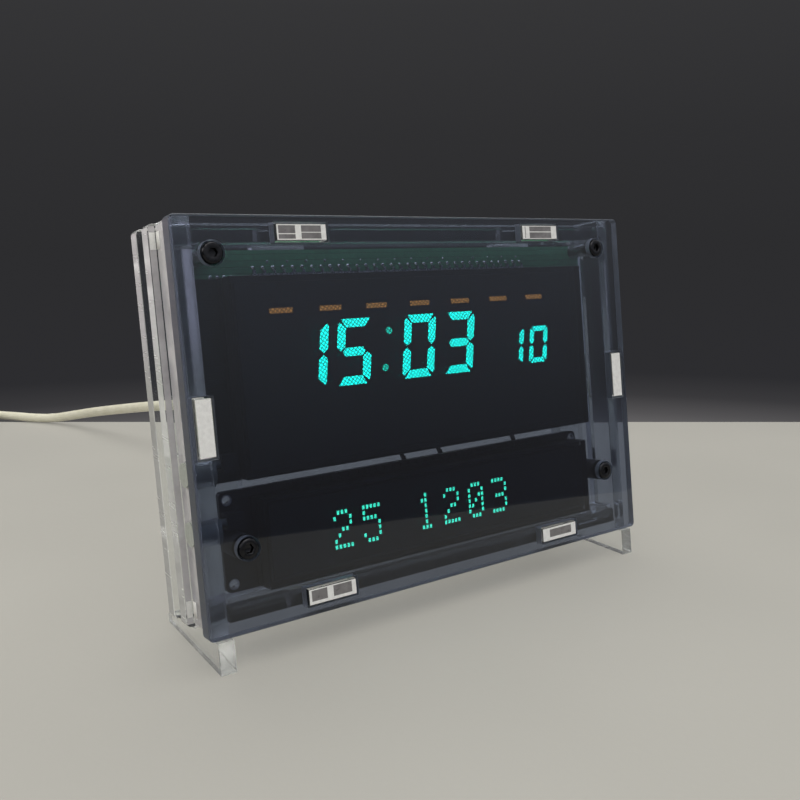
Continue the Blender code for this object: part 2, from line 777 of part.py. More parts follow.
def build_cell(case):
    """The backup cell on its holder plate."""
    add_block(case, "cell_holder", cell_holder_size, cell_shares, STEEL, edge=0.0)
    rim = cell_radius - cell_edge
    profile = [(0.0, cell_thickness), (rim, cell_thickness), (cell_radius, cell_thickness - cell_edge)]
    profile += [(cell_radius, 0.0), (0.0, 0.0)]
    cell_front = parts_front + cell_holder_size[1] + fit_gap
    cell = turned_mesh("backup_cell", profile)
    add_part("backup_cell", cell, STEEL, case, window_place(cell_shares, cell_front), FACING_BACK)


def tube_curve(name, points, radius, resolution):
    """A round wire or cord along its points, closed at both ends."""
    curve = bpy.data.curves.new(name, "CURVE")
    curve.dimensions = "3D"
    curve.bevel_depth = radius
    curve.bevel_resolution = resolution
    curve.use_fill_caps = True
    spline = curve.splines.new("POLY")
    spline.points.add(len(points) - 1)
    for point, place in zip(spline.points, points):
        point.co = (*place, 1.0)
    return curve


def build_links(case):
    """Three insulated wires from the back of the main board to the back of the date board."""
    level = parts_front + link_radius
    for name, share in link_shares.items():
        x = window_side + share * window_width
        points = [
            (x - link_lean, level, main_board_bottom + link_reach),
            (x - link_lean / 2, level + link_bulge, main_board_bottom),
            (x + link_lean / 2, level + link_bulge, date_board_top),
            (x + link_lean, level, date_board_top - link_reach),
        ]
        add_part(f"link_wire_{name}", tube_curve("link_wire", points, link_radius, 2), WIRE, case)


def stadium(width, height):
    """A flat slot outline with round ends, about its centre."""
    radius = height / 2
    reach = width / 2 - radius
    outline = []
    for side, turn in ((1, -math.pi / 2), (-1, math.pi / 2)):
        for step in range(2 * corner_steps + 1):
            angle = turn + math.pi * step / (2 * corner_steps)
            outline.append((side * reach + radius * math.cos(angle), radius * math.sin(angle)))
    return outline


def build_usb(case):
    """The socket on the main board, and the plug whose shell sits in it."""
    gap = 2 * fit_gap
    wide, thick = usb_width + gap, usb_thickness + gap
    loops = [stadium(wide + 2 * usb_wall, thick + 2 * usb_wall), stadium(wide, thick)]
    length = usb_mouth - parts_front
    socket = flat_mesh("usb_socket", loops, length)
    add_part("usb_socket", socket, STEEL, case, (usb_x, parts_front + length / 2, usb_height), FACING)
    hollow = 2 * usb_hollow_wall
    loops = [stadium(usb_width, usb_thickness), stadium(usb_width - hollow, usb_thickness - hollow)]
    shell = flat_mesh("usb_plug_shell", loops, usb_shell_length)
    shell_y = grip_front - fit_gap - usb_shell_length / 2
    add_part("usb_plug_shell", shell, STEEL, case, (usb_x, shell_y, usb_height), FACING)
    grip = grip_mesh("usb_plug_grip", grip_width, grip_thickness, grip_length, relief_length)
    add_part("usb_plug_grip", grip, CORD, case, (usb_x, grip_front, usb_height), FACING_BACK)


def grip_mesh(name, width, thickness, length, relief):
    """A plug's moulded grip on z = 0 with a tapered strain relief on top."""
    body = block_mesh(name, (width, thickness, length), grip_edge)
    body.transform(Matrix.Translation((0, 0, length / 2)))
    root = length - grip_edge
    top = length + relief
    profile = [(0.0, top), (relief_end_radius, top), (relief_radius, root), (0.0, root)]
    return smooth(combined(body, [(turned_mesh("relief", profile), (0, 0, 0), LYING)], "UNION"))


def smooth_path(route, spacing):
    """Points at an even spacing along a smooth curve through the route."""
    route = [Vector(p) for p in route]
    ends = [2 * route[0] - route[1], *route, 2 * route[-1] - route[-2]]
    fine = []
    for before, start, end, after in zip(ends, ends[1:], ends[2:], ends[3:]):
        for step in range(round_steps):
            t = step / round_steps
            bend = (2 * before - 5 * start + 4 * end - after) * t * t
            twist = (3 * start - before - 3 * end + after) * t * t * t
            fine.append((2 * start + (end - before) * t + bend + twist) / 2)
    fine.append(route[-1])
    reach = [0.0]
    for a, b in zip(fine, fine[1:]):
        reach.append(reach[-1] + (b - a).length)
    count = max(2, round(reach[-1] / spacing))
    path, i = [], 0
    for step in range(count + 1):
        target = reach[-1] * step / count
        while i < len(fine) - 2 and reach[i + 1] < target:
            i += 1
        share = (target - reach[i]) / (reach[i + 1] - reach[i])
        path.append(fine[i].lerp(fine[i + 1], share))
    return path


def coil_point(turn):
    """Where the cable lies on the coil after so many turns: inward below, then outward on top."""
    half = coil_turns / 2
    angle = coil_start + 2 * math.pi * turn
    radius = coil_radius + coil_pitch * (abs(turn - half) - half / 2)
    climb = min(max((turn - half) * 2 + 0.5, 0.0), 1.0)
    height = coil_lift + cord_radius + coil_pitch * climb
    return Vector(
        (coil_centre[0] + radius * math.cos(angle), coil_centre[1] + radius * math.sin(angle), height)
    )


def coil_heading(turn):
    """The level direction in which the cable runs round the coil there."""
    angle = coil_start + 2 * math.pi * turn
    return Vector((-math.sin(angle), math.cos(angle), 0.0))


def coil_path():
    """The coil's points, with a straight end of one cable diameter before and after the turns."""
    count = round(coil_turns * coil_steps)
    turns = [coil_turns * i / count for i in range(count + 1)]
    points = [coil_point(turn) for turn in turns]
    lead = 2 * cord_radius
    first = points[0] - coil_heading(0.0) * lead
    last = points[-1] + coil_heading(coil_turns) * lead
    return [first, *points, last]


def least_gap(points):
    """The least clear distance between turns of the coil, measured on its points."""
    apart = coil_steps // 2
    return min(
        (a - b).length - 2 * cord_radius
        for i, a in enumerate(points)
        for b in points[i + apart:]
    )


def path_length(points):
    """The length along a row of points."""
    return sum((b - a).length for a, b in zip(points, points[1:]))


def build_cable(case):
    """The cable from the plug to its coil, the coil in its tie, and the tail to the far plug."""
    bpy.context.view_layer.update()
    lead = 2 * cord_radius
    spacing = cord_spacing_diameters * lead
    exit_y = grip_front + grip_length + relief_length + fit_gap
    exit_point = case.matrix_world @ Vector((usb_x, exit_y, usb_height))
    ahead = case.matrix_world @ Vector((usb_x, exit_y + lead, usb_height))
    coil = coil_path()
    arrival = coil[0] - coil_heading(0.0) * fit_gap
    before = arrival - coil_heading(0.0) * lead
    free = [exit_point, *smooth_path([ahead, *cord_route, before], spacing), arrival]
    add_part("usb_cable", tube_curve("usb_cable", free, cord_radius, 2), CORD)
    add_part("usb_cable_coil", tube_curve("usb_cable_coil", coil, cord_radius, 1), CORD)
    tail = tail_path(coil[-1])
    add_part("usb_cable_tail", tube_curve("usb_cable_tail", tail, cord_radius, 2), CORD)
    print("least gap in the coil, mm:", round(least_gap(coil) * 1000, 3))
    print("cable length, m:", round(path_length(free) + path_length(coil) + path_length(tail), 4))
    build_tie()
    build_far_plug(tail[-1])


def tail_path(start):
    """The short end that leaves the coil's top turn and comes down to the far plug's height."""
    heading = coil_heading(coil_turns)
    lead = 2 * cord_radius
    drop = Vector((0, 0, cord_rest + far_grip_thickness / 2 - start.z))
    first = start + heading * fit_gap
    end = first + heading * tail_length + drop
    middle = [first + heading * lead, first + heading * (tail_length / 2) + drop / 2, end - heading * lead]
    return [first, *smooth_path(middle, spacing=lead), end]


def build_tie():
    """A flat band round all the coil's turns at one place."""
    outer_turn = coil_turns / 4 * coil_pitch + cord_radius + tie_slack
    shift = coil_pitch * (tie_angle - coil_start) / (2 * math.pi)
    low = cord_rest
    high = coil_lift + 2 * cord_radius + coil_pitch + fit_gap + tie_thickness
    outer = outer_turn + tie_thickness
    middle = (low + high) / 2
    half = (high - low) / 2
    loops = [
        rounded(rectangle(-outer, outer - shift, -half, half), tie_corner),
        rounded(
            rectangle(tie_thickness - outer, outer - shift - tie_thickness, tie_thickness - half, half - tie_thickness),
            tie_corner - tie_thickness,
        ),
    ]
    band = flat_mesh("cable_tie", loops, tie_width)
    radius = coil_radius
    place = (coil_centre[0] + radius * math.cos(tie_angle), coil_centre[1] + radius * math.sin(tie_angle), middle)
    turn = Matrix.Rotation(tie_angle, 3, "Z") @ FACING
    add_part("cable_tie", band, TIE, None, place, turn)


def build_far_plug(end):
    """The plug at the cable's other end, lying on the table beside the coil."""
    heading = coil_heading(coil_turns)
    upright = heading.to_track_quat("-Z", "Y").to_matrix()
    relief_end = end + heading * fit_gap
    front = relief_end + heading * (far_relief_length + far_grip_length)
    grip = grip_mesh("far_plug_grip", far_grip_width, far_grip_thickness, far_grip_length, far_relief_length)
    add_part("far_plug_grip", grip, CORD, None, front, upright)
    hollow = 2 * far_shell_wall
    loops = [
        rectangle(-far_shell_width / 2, far_shell_width / 2, -far_shell_thickness / 2, far_shell_thickness / 2),
        rectangle(
            (hollow - far_shell_width) / 2,
            (far_shell_width - hollow) / 2,
            (hollow - far_shell_thickness) / 2,
            (far_shell_thickness - hollow) / 2,
        ),
    ]
    shell = flat_mesh("far_plug_shell", loops, far_shell_length)
    add_part("far_plug_shell", shell, STEEL, None, front + heading * (fit_gap + far_shell_length / 2), upright)


def build_clock():
    """The whole clock with its cable."""
    case = place_case()
    build_plates(case)
    build_walls(case)
    build_fasteners(case)
    build_boards(case)
    build_displays(case)
    build_buttons(case)
    build_circuit(case)
    build_links(case)
    build_usb(case)
    build_cable(case)


build_clock()
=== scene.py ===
import math
import random

import bmesh
import bpy
from mathutils import Matrix, Vector


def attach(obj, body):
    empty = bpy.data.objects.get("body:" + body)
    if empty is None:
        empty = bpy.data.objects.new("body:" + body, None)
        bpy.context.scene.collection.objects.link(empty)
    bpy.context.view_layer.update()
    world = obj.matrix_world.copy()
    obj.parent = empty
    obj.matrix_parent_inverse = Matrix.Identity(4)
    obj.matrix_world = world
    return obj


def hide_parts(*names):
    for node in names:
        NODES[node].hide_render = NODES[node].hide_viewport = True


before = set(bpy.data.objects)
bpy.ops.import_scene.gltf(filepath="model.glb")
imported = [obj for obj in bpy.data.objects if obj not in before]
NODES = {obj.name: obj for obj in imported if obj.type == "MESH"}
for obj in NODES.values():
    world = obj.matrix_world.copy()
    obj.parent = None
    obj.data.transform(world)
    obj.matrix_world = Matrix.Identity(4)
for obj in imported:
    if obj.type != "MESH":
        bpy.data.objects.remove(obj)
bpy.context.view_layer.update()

# The case's own frame has x to the right, y to the back and z up along the leaning case, from the front
# panel's low left corner. Places in it are in millimetres where a comment or a helper says so.
MM = 0.001
LEAN = math.radians(7.37)
CASE_CORNER = (-0.0525, -0.0152054, 0.00604960)
CASE = Matrix.Translation(CASE_CORNER) @ Matrix.Rotation(-LEAN, 4, "X")
# The camera that was solved on the photograph: place in metres, turn in degrees, lens in millimetres.
CAMERA_PLACE = (-0.0995880, -0.1425687, 0.0715797)
CAMERA_TURN = (79.591, 0.456, -34.065)
CAMERA_LENS = 38.0997
SENSOR_WIDTH = 36.0
CLIP_START = 0.005

scene = bpy.context.scene
scene.view_settings.view_transform = "Standard"
scene.cycles.max_bounces = 24
scene.cycles.transmission_bounces = 20
scene.cycles.transparent_max_bounces = 32
scene.cycles.glossy_bounces = 6


# ---------------------------------------------------------------- materials

DARK_STOP, LIGHT_STOP = 0.3, 0.7
ACRYLIC_IOR, TUBE_IOR = 1.49, 1.5
SMEAR_START, SMEAR_END = 0.62, 0.85
CUT_DEPTH = 0.000004
GLOSS_SHARE = 2.3


class Nodes:
    """A material's node tree, with short calls to add nodes and link them."""

    def __init__(self, name):
        self.material = bpy.data.materials.new(name)
        self.material.use_nodes = True
        self.tree = self.material.node_tree
        self.tree.nodes.clear()
        self.output = self.tree.nodes.new("ShaderNodeOutputMaterial")

    def add(self, kind, inputs=None, **settings):
        node = self.tree.nodes.new(kind)
        for key, value in settings.items():
            setattr(node, key, value)
        for key, value in (inputs or {}).items():
            socket = node.inputs[key]
            if isinstance(value, bpy.types.NodeSocket):
                self.tree.links.new(value, socket)
            else:
                socket.default_value = value
        return node

    def place(self, scale=(1, 1, 1), turn=(0, 0, 0)):
        """Coordinates fixed to the piece, in metres times the scale."""
        source = self.add("ShaderNodeTexCoord")
        mapping = self.add("ShaderNodeMapping", {"Vector": source.outputs["Object"]})
        mapping.inputs["Scale"].default_value = scale
        mapping.inputs["Rotation"].default_value = turn
        return mapping.outputs["Vector"]

    def case_place(self):
        """The three coordinates in the case's own frame, in metres."""
        source = self.add("ShaderNodeTexCoord")
        mapping = self.add("ShaderNodeMapping", {"Vector": source.outputs["Object"]})
        mapping.inputs["Rotation"].default_value = (LEAN, 0, 0)
        mapping.inputs["Location"].default_value = CASE.inverted().translation
        return self.add("ShaderNodeSeparateXYZ", {"Vector": mapping.outputs["Vector"]}).outputs

    def sheet_place(self, place):
        """Flat coordinates along a sheet, from case_place's x and z."""
        return self.add("ShaderNodeCombineXYZ", {"X": place["X"], "Y": place["Z"]}).outputs["Vector"]

    def noise(self, scale, detail=3.0, stretch=(1, 1, 1), turn=(0, 0, 0)):
        vector = self.place(stretch, turn)
        node = self.add("ShaderNodeTexNoise", {"Vector": vector, "Scale": scale, "Detail": detail})
        return node.outputs["Fac"]

    def ramp(self, value, stops):
        node = self.add("ShaderNodeValToRGB", {"Fac": value})
        elements = node.color_ramp.elements
        for element, (at, color) in zip(elements, stops):
            element.position = at
            element.color = (*color, 1.0)
        return node.outputs["Color"]

    def tones(self, value, dark, light):
        return self.ramp(value, ((DARK_STOP, dark), (LIGHT_STOP, light)))

    def span(self, value, low, high, start=DARK_STOP, end=LIGHT_STOP):
        """The value's range from start to end, stretched to low and high."""
        node = self.add(
            "ShaderNodeMapRange",
            {"Value": value, "From Min": start, "From Max": end, "To Min": low, "To Max": high},
        )
        return node.outputs["Result"]

    def bump(self, height, distance):
        node = self.add("ShaderNodeBump", {"Height": height, "Distance": distance, "Strength": 1.0})
        return node.outputs["Normal"]

    def greatest(self, first, second):
        return self.add("ShaderNodeMath", {0: first, 1: second}, operation="MAXIMUM").outputs["Value"]

    def finish(self, shader):
        self.tree.links.new(shader, self.output.inputs["Surface"])
        return self.material

    def finish_principled(self, inputs):
        return self.finish(self.add("ShaderNodeBsdfPrincipled", inputs).outputs["BSDF"])

    def finish_clear(self, inputs, shadow):
        """A clear material that lets a lamp's light through with a tint, instead of a full shadow."""
        shader = self.add("ShaderNodeBsdfPrincipled", inputs).outputs["BSDF"]
        clear = self.add("ShaderNodeBsdfTransparent", {"Color": (*shadow, 1.0)}).outputs["BSDF"]
        path = self.add("ShaderNodeLightPath").outputs
        mix = self.add("ShaderNodeMixShader", {0: path["Is Shadow Ray"], 1: shader, 2: clear})
        return self.finish(mix.outputs["Shader"])


def mottled(name, dark, light, rough, metallic=0.0, scale=900.0, grain=2500.0, grain_depth=0.00002, **more):
    """A plain opaque material whose colour, gloss and surface vary a little."""
    n = Nodes(name)
    return n.finish_principled({
        "Base Color": n.tones(n.noise(scale), dark, light),
        "Roughness": n.span(n.noise(scale * GLOSS_SHARE), *rough),
        "Metallic": metallic,
        "Normal": n.bump(n.noise(grain), grain_depth),
        **more,
    })


def sheet_face(name, dark, light, smear_rough, shadow):
    """Polished acrylic: refracts, has faint smears, and lets lamp light through."""
    n = Nodes(name)
    return n.finish_clear({
        "Base Color": n.tones(n.noise(60.0, detail=4.0), dark, light),
        "Roughness": n.span(n.noise(220.0, detail=5.0), 0.0, smear_rough, SMEAR_START, SMEAR_END),
        "IOR": ACRYLIC_IOR,
        "Transmission Weight": 1.0,
    }, shadow)


def cut_edge(name, dark, light, stretch, shadow, transmission, rough):
    """A laser-cut edge: frosted, with fine lines across the sheet."""
    n = Nodes(name)
    lines = n.noise(1.0, stretch=stretch, turn=(LEAN, 0, 0))
    return n.finish_clear({
        "Base Color": n.tones(lines, dark, light),
        "Roughness": n.span(lines, *rough),
        "IOR": ACRYLIC_IOR,
        "Transmission Weight": transmission,
        "Normal": n.bump(lines, CUT_DEPTH),
    }, shadow)


def tube_glass(name):
    """A display tube's glass: clear, with faint smears."""
    n = Nodes(name)
    return n.finish_clear({
        "Base Color": n.tones(n.noise(80.0, detail=4.0), (0.90, 0.93, 0.93), (0.95, 0.97, 0.97)),
        "Roughness": n.span(n.noise(300.0), 0.0, 0.01, 0.55, 0.8),
        "IOR": TUBE_IOR,
        "Transmission Weight": 1.0,
    }, (0.92, 0.92, 0.92))


def haze_film(name):
    """A thin cloudy film that lets part of what is behind it through."""
    n = Nodes(name)
    cloud = n.noise(160.0, detail=5.0)
    return n.finish_principled({
        "Base Color": n.tones(cloud, (0.60, 0.575, 0.575), (0.72, 0.70, 0.70)),
        "Roughness": n.span(cloud, 0.5, 0.7),
        "Alpha": n.span(cloud, 0.34, 0.58),
    })


# The tube's grid: cells per metre, its turn, and where a cell's wire ends and its hole begins.
GRID_CELLS = 1600.0
GRID_TURN = math.radians(38)
GRID_WIRE, GRID_HOLE = 0.05, 0.28


def glowing(name, dark, light, strength):
    """A printed segment that glows, seen through the fine mesh of the tube's grid."""
    n = Nodes(name)
    flat = n.sheet_place(n.case_place())
    turned = n.add("ShaderNodeMapping", {"Vector": flat, "Rotation": (0, 0, GRID_TURN)}).outputs["Vector"]
    mesh = n.add(
        "ShaderNodeTexVoronoi", {"Vector": turned, "Scale": GRID_CELLS, "Randomness": 0.25},
        feature="DISTANCE_TO_EDGE", voronoi_dimensions="2D",
    )
    hole = n.span(mesh.outputs["Distance"], 0.0, 1.0, GRID_WIRE, GRID_HOLE)
    return n.finish_principled({
        "Base Color": n.tones(hole, (0.02, 0.06, 0.05), (0.03, 0.09, 0.08)),
        "Roughness": 0.6,
        "Emission Color": n.ramp(hole, ((0.1, dark), (0.8, light))),
        "Emission Strength": strength,
    })


# Depths between which a board's front ends and its back begins, and how softly the painted shade on the front
# ends, in metres.
BOARD_MIDDLE = (0.0097, 0.0101)
SHADE_FADE = 0.0003
LANES = {
    "Scale": 1.0 / MM, "Mortar Size": 0.09, "Mortar Smooth": 0.3, "Brick Width": 11.0, "Row Height": 1.15,
}


def board_skin(name, mask, copper, shade_tone, shade_top):
    """Solder mask over lanes of copper. On the front, below a given height, the board is painted darker:
    painted shade, where little light from above reaches.
    """
    n = Nodes(name)
    tone = n.noise(500.0)
    place = n.case_place()
    lanes = n.add("ShaderNodeTexBrick", {"Vector": n.sheet_place(place), **LANES}, offset=0.37)
    tracks = n.span(lanes.outputs["Fac"], 1.0, 0.0, 0.0, 1.0)
    behind = n.span(place["Y"], 0.0, 1.0, *BOARD_MIDDLE)
    # Painted shade: the front below this height is darkened, as little light from above reaches it.
    above = n.span(place["Z"], 0.0, 1.0, shade_top, shade_top + SHADE_FADE)
    plain, traced, dark = (
        n.tones(tone, [part * share for part in color], color)
        for color, share in ((mask, 0.85), (copper, 0.85), (shade_tone, 0.8))
    )
    laned = n.add("ShaderNodeMixRGB", {"Fac": tracks, "Color1": plain, "Color2": traced}).outputs["Color"]
    whole = n.add("ShaderNodeMixRGB", {"Fac": n.greatest(behind, above), "Color1": dark, "Color2": laned})
    return n.finish_principled({
        "Base Color": whole.outputs["Color"],
        "Roughness": n.span(tone, 0.28, 0.42),
        "Normal": n.bump(tracks, 0.00003),
        "Coat Weight": 0.3,
        "Coat Roughness": 0.15,
    })


# Sheets: dark tone, light tone, roughness in the smears, tint of the shadow.
SMOKE = sheet_face("smoked_sheet", (0.185, 0.218, 0.300), (0.200, 0.235, 0.320), 0.02, (0.42, 0.45, 0.53))
CLEAR = sheet_face("clear_sheet", (0.93, 0.945, 0.94), (0.96, 0.97, 0.965), 0.03, (0.9, 0.9, 0.9))
# Edges: dark tone, light tone, stretch of the lines, tint of the shadow, transmission, roughness.
SMOKE_EDGE = cut_edge(
    "smoked_edge", (0.060, 0.072, 0.095), (0.105, 0.120, 0.150),
    (2600, 120, 2600), (0.6, 0.6, 0.6), 0.6, (0.35, 0.6),
)
EDGE_Y = cut_edge(
    "clear_edge_y", (0.87, 0.88, 0.86), (0.95, 0.96, 0.94),
    (900, 60, 900), (0.75, 0.76, 0.75), 0.62, (0.16, 0.30),
)
EDGE_X = cut_edge(
    "clear_edge_x", (0.84, 0.86, 0.84), (0.91, 0.93, 0.91),
    (60, 900, 900), (0.88, 0.89, 0.88), 0.94, (0.14, 0.26),
)
# The top and bottom panels' cut edges are tinted dark as painted shade, which keeps the strips they show
# behind the front panel dim.
EDGE_Z = cut_edge(
    "clear_edge_z", (0.22, 0.23, 0.24), (0.30, 0.31, 0.32),
    (900, 900, 60), (0.88, 0.89, 0.88), 0.97, (0.02, 0.14),
)
EDGE_CLEAR = cut_edge(
    "clear_edge_polished", (0.93, 0.95, 0.93), (0.97, 0.98, 0.97),
    (900, 60, 900), (0.9, 0.9, 0.9), 0.98, (0.0, 0.06),
)
FILM = haze_film("film_haze")
GLASS = tube_glass("tube_glass")
# Glowing print: tone under the mesh's wires, tone in its holes, strength.
GLOW = glowing("segment_glow", (0.0, 0.12, 0.075), (0.0, 1.0, 0.655), 7.9)
COLON_GLOW = glowing("colon_glow", (0.0, 0.16, 0.09), (0.0, 1.0, 0.56), 3.2)
DOT_GLOW = glowing("dot_glow", (0.04, 0.80, 0.42), (0.08, 1.0, 0.54), 4.8)
AMBER = glowing("amber_bar", (0.20, 0.085, 0.015), (1.0, 0.42, 0.085), 1.45)
# Boards: solder mask, mask over copper, tone of the painted shade, height below which the front is painted in
# shade.
GREEN = board_skin("green_mask", (0.050, 0.215, 0.110), (0.080, 0.320, 0.165), (0.008, 0.016, 0.014), 0.0612)
BLACK = board_skin("black_mask", (0.012, 0.012, 0.015), (0.018, 0.018, 0.022), (0.008, 0.008, 0.010), 0.0)
# Opaque: dark tone, light tone, roughness, metallic, scale of the tones, scale and depth of the grain.
CREAM = mottled(
    "cream_cable", (0.56, 0.54, 0.42), (0.64, 0.62, 0.50), (0.35, 0.5), scale=300.0,
    **{"Subsurface Weight": 0.15, "Subsurface Radius": (0.001, 0.001, 0.0007)},
)
LOOP_TAPE = mottled(
    "loop_tape", (0.010, 0.010, 0.011), (0.035, 0.035, 0.038), (0.8, 0.95), 0.0, 2600.0, 2400.0, 0.00025,
    **{"Sheen Weight": 0.5},
)
FROST = mottled(
    "frosted_end", (0.70, 0.69, 0.655), (0.82, 0.81, 0.77), (0.5, 0.65), 0.0, 1400.0, 3000.0, 0.00004
)
TAB_INSIDE = mottled("tab_inside", (0.13, 0.122, 0.120), (0.20, 0.19, 0.187), (0.25, 0.4), 0.0, 700.0)
BLACK_OXIDE = mottled("black_oxide", (0.016, 0.016, 0.018), (0.030, 0.030, 0.032), (0.12, 0.22), 0.9, 1500.0)
NYLON = mottled("black_nylon_skin", (0.012, 0.012, 0.013), (0.022, 0.022, 0.024), (0.4, 0.55), 0.0, 1200.0)
STEEL = mottled("nickel_plate", (0.52, 0.51, 0.49), (0.64, 0.63, 0.61), (0.2, 0.34), 1.0, 900.0)
ANODE = mottled(
    "anode_print", (0.006, 0.006, 0.007), (0.011, 0.011, 0.012), (0.36, 0.44), 0.0, 700.0, 2500.0, 0.000002
)
SEAL = mottled("frit_seal", (0.005, 0.005, 0.006), (0.008, 0.008, 0.009), (0.3, 0.5), 0.0, 1100.0)
UNLIT = mottled("unlit_phosphor", (0.010, 0.012, 0.012), (0.014, 0.017, 0.017), (0.5, 0.6), 0.0, 2600.0)
SOLDER = mottled(
    "solder", (0.88, 0.88, 0.86), (0.97, 0.97, 0.95), (0.05, 0.16), 1.0, 1500.0, 1800.0, 0.00004
)
CHIP_SKIN = mottled("chip_moulding", (0.018, 0.018, 0.019), (0.03, 0.03, 0.031), (0.45, 0.6), 0.0, 1800.0)
CAN = mottled("can_skin", (0.58, 0.59, 0.61), (0.68, 0.69, 0.71), (0.22, 0.34), 1.0, 900.0)
PLATE = mottled(
    "plug_plate", (0.60, 0.60, 0.59), (0.66, 0.66, 0.65), (0.24, 0.32), 1.0, 220.0, 900.0, 0.000003
)
BUTTON = mottled("button_cap", (0.30, 0.32, 0.28), (0.38, 0.40, 0.36), (0.3, 0.45), 0.0, 1200.0)
TRACE = mottled("gold_trace", (0.78, 0.58, 0.26), (0.90, 0.70, 0.34), (0.2, 0.35), 1.0, 1500.0)


# ---------------------------------------------------------------- camera, stage and lights

TABLE_LEVEL = -0.0001
FILL_SHARE, FILL_STRENGTH = 0.5, 1.02
# The table's outline in x and y: the far edge from left to right, then the near edge back to the left.
FAR_EDGE = ((-0.62, 0.80), (-0.07, 0.30), (-0.052, 0.2441), (0.62, -0.2485))
NEAR_EDGE = ((0.46, -0.20), (0.149, -0.1066), (0.0321, -0.2223), (-0.05, -0.303), (-0.62, -0.40))
# The world's tones by the height of a direction, behind the table and in the room.
BACKDROP = (
    (-0.205, (0.130, 0.125, 0.128)),
    (-0.190, (0.085, 0.082, 0.085)),
    (-0.170, (0.042, 0.041, 0.044)),
    (-0.145, (0.026, 0.026, 0.029)),
    (0.000, (0.026, 0.026, 0.028)),
    (0.120, (0.029, 0.029, 0.031)),
    (0.250, (0.036, 0.036, 0.038)),
    (0.450, (0.062, 0.062, 0.065)),
)
ROOM = (
    (-0.25, (0.10, 0.10, 0.11)),
    (-0.05, (0.20, 0.20, 0.22)),
    (0.03, (0.27, 0.28, 0.30)),
    (0.20, (0.44, 0.46, 0.50)),
    (0.45, (0.78, 0.80, 0.84)),
    (1.00, (0.98, 0.99, 1.02)),
)
BACKDROP_SPAN, ROOM_SPAN = (-0.25, 0.45), (-0.25, 1.0)
# The ways in which the room and a pale curtain lie, and how softly each begins.
ROOM_WAY, ROOM_EDGE = (0.35, -0.94, 0.0), (-0.1, 0.45)
CURTAIN_WAY, CURTAIN_EDGE = (-0.36, 0.93, -0.06), (0.93, 0.975)
CURTAIN_TONE = (1.05, 0.92, 0.98, 1.0)
LAMP_COLOR = (1.0, 0.98, 0.95)
# Name, place, target, size, power in watts.
LAMPS = (
    ("key_lamp", (0.14, 0.34, 0.80), (0.0, 0.08, 0.0), (1.0, 0.8), 6.5),
    ("front_lamp", (-0.12, -0.30, 0.75), (0.0, 0.02, 0.0), (0.7, 0.5), 2.4),
    ("left_lamp", (-0.70, 0.05, 0.40), (0.0, 0.0, 0.03), (0.5, 0.4), 2.0),
)


def new_object(name, data):
    piece = bpy.data.objects.new(name, data)
    scene.collection.objects.link(piece)
    return piece


def make_camera():
    data = bpy.data.cameras.new("camera")
    data.lens = CAMERA_LENS
    data.sensor_width = SENSOR_WIDTH
    data.clip_start = CLIP_START
    camera = new_object("camera", data)
    camera.location = CAMERA_PLACE
    camera.rotation_euler = [math.radians(a) for a in CAMERA_TURN]
    scene.camera = camera


def make_floor():
    """The pale table, cut where the photograph's ends. Part of its light is fixed, for soft shadows."""
    mesh = bpy.data.meshes.new("table")
    points = [(x, y, TABLE_LEVEL) for x, y in [*FAR_EDGE, *NEAR_EDGE]]
    mesh.from_pydata(points, [], [tuple(range(len(points)))[::-1]])
    n = Nodes("table_top")
    grain = n.noise(900.0)
    tone = n.ramp(n.noise(9.0, detail=2.0), ((0.35, (0.392, 0.381, 0.343)), (0.65, (0.418, 0.406, 0.366))))
    lit = n.add("ShaderNodeBsdfPrincipled", {
        "Base Color": tone,
        "Roughness": n.span(grain, 0.38, 0.5, 0.0, 1.0),
        "Normal": n.bump(grain, 0.00003),
    }).outputs["BSDF"]
    fill = n.add("ShaderNodeEmission", {"Color": tone, "Strength": FILL_STRENGTH}).outputs["Emission"]
    path = n.add("ShaderNodeLightPath").outputs
    seen = n.greatest(n.greatest(path["Is Camera Ray"], path["Is Transmission Ray"]), path["Is Glossy Ray"])
    share = n.add("ShaderNodeMath", {0: seen, 1: FILL_SHARE}, operation="MULTIPLY").outputs["Value"]
    both = n.add("ShaderNodeMixShader", {0: share, 1: lit, 2: fill})
    mesh.materials.append(n.finish(both.outputs["Shader"]))
    new_object("table", mesh)


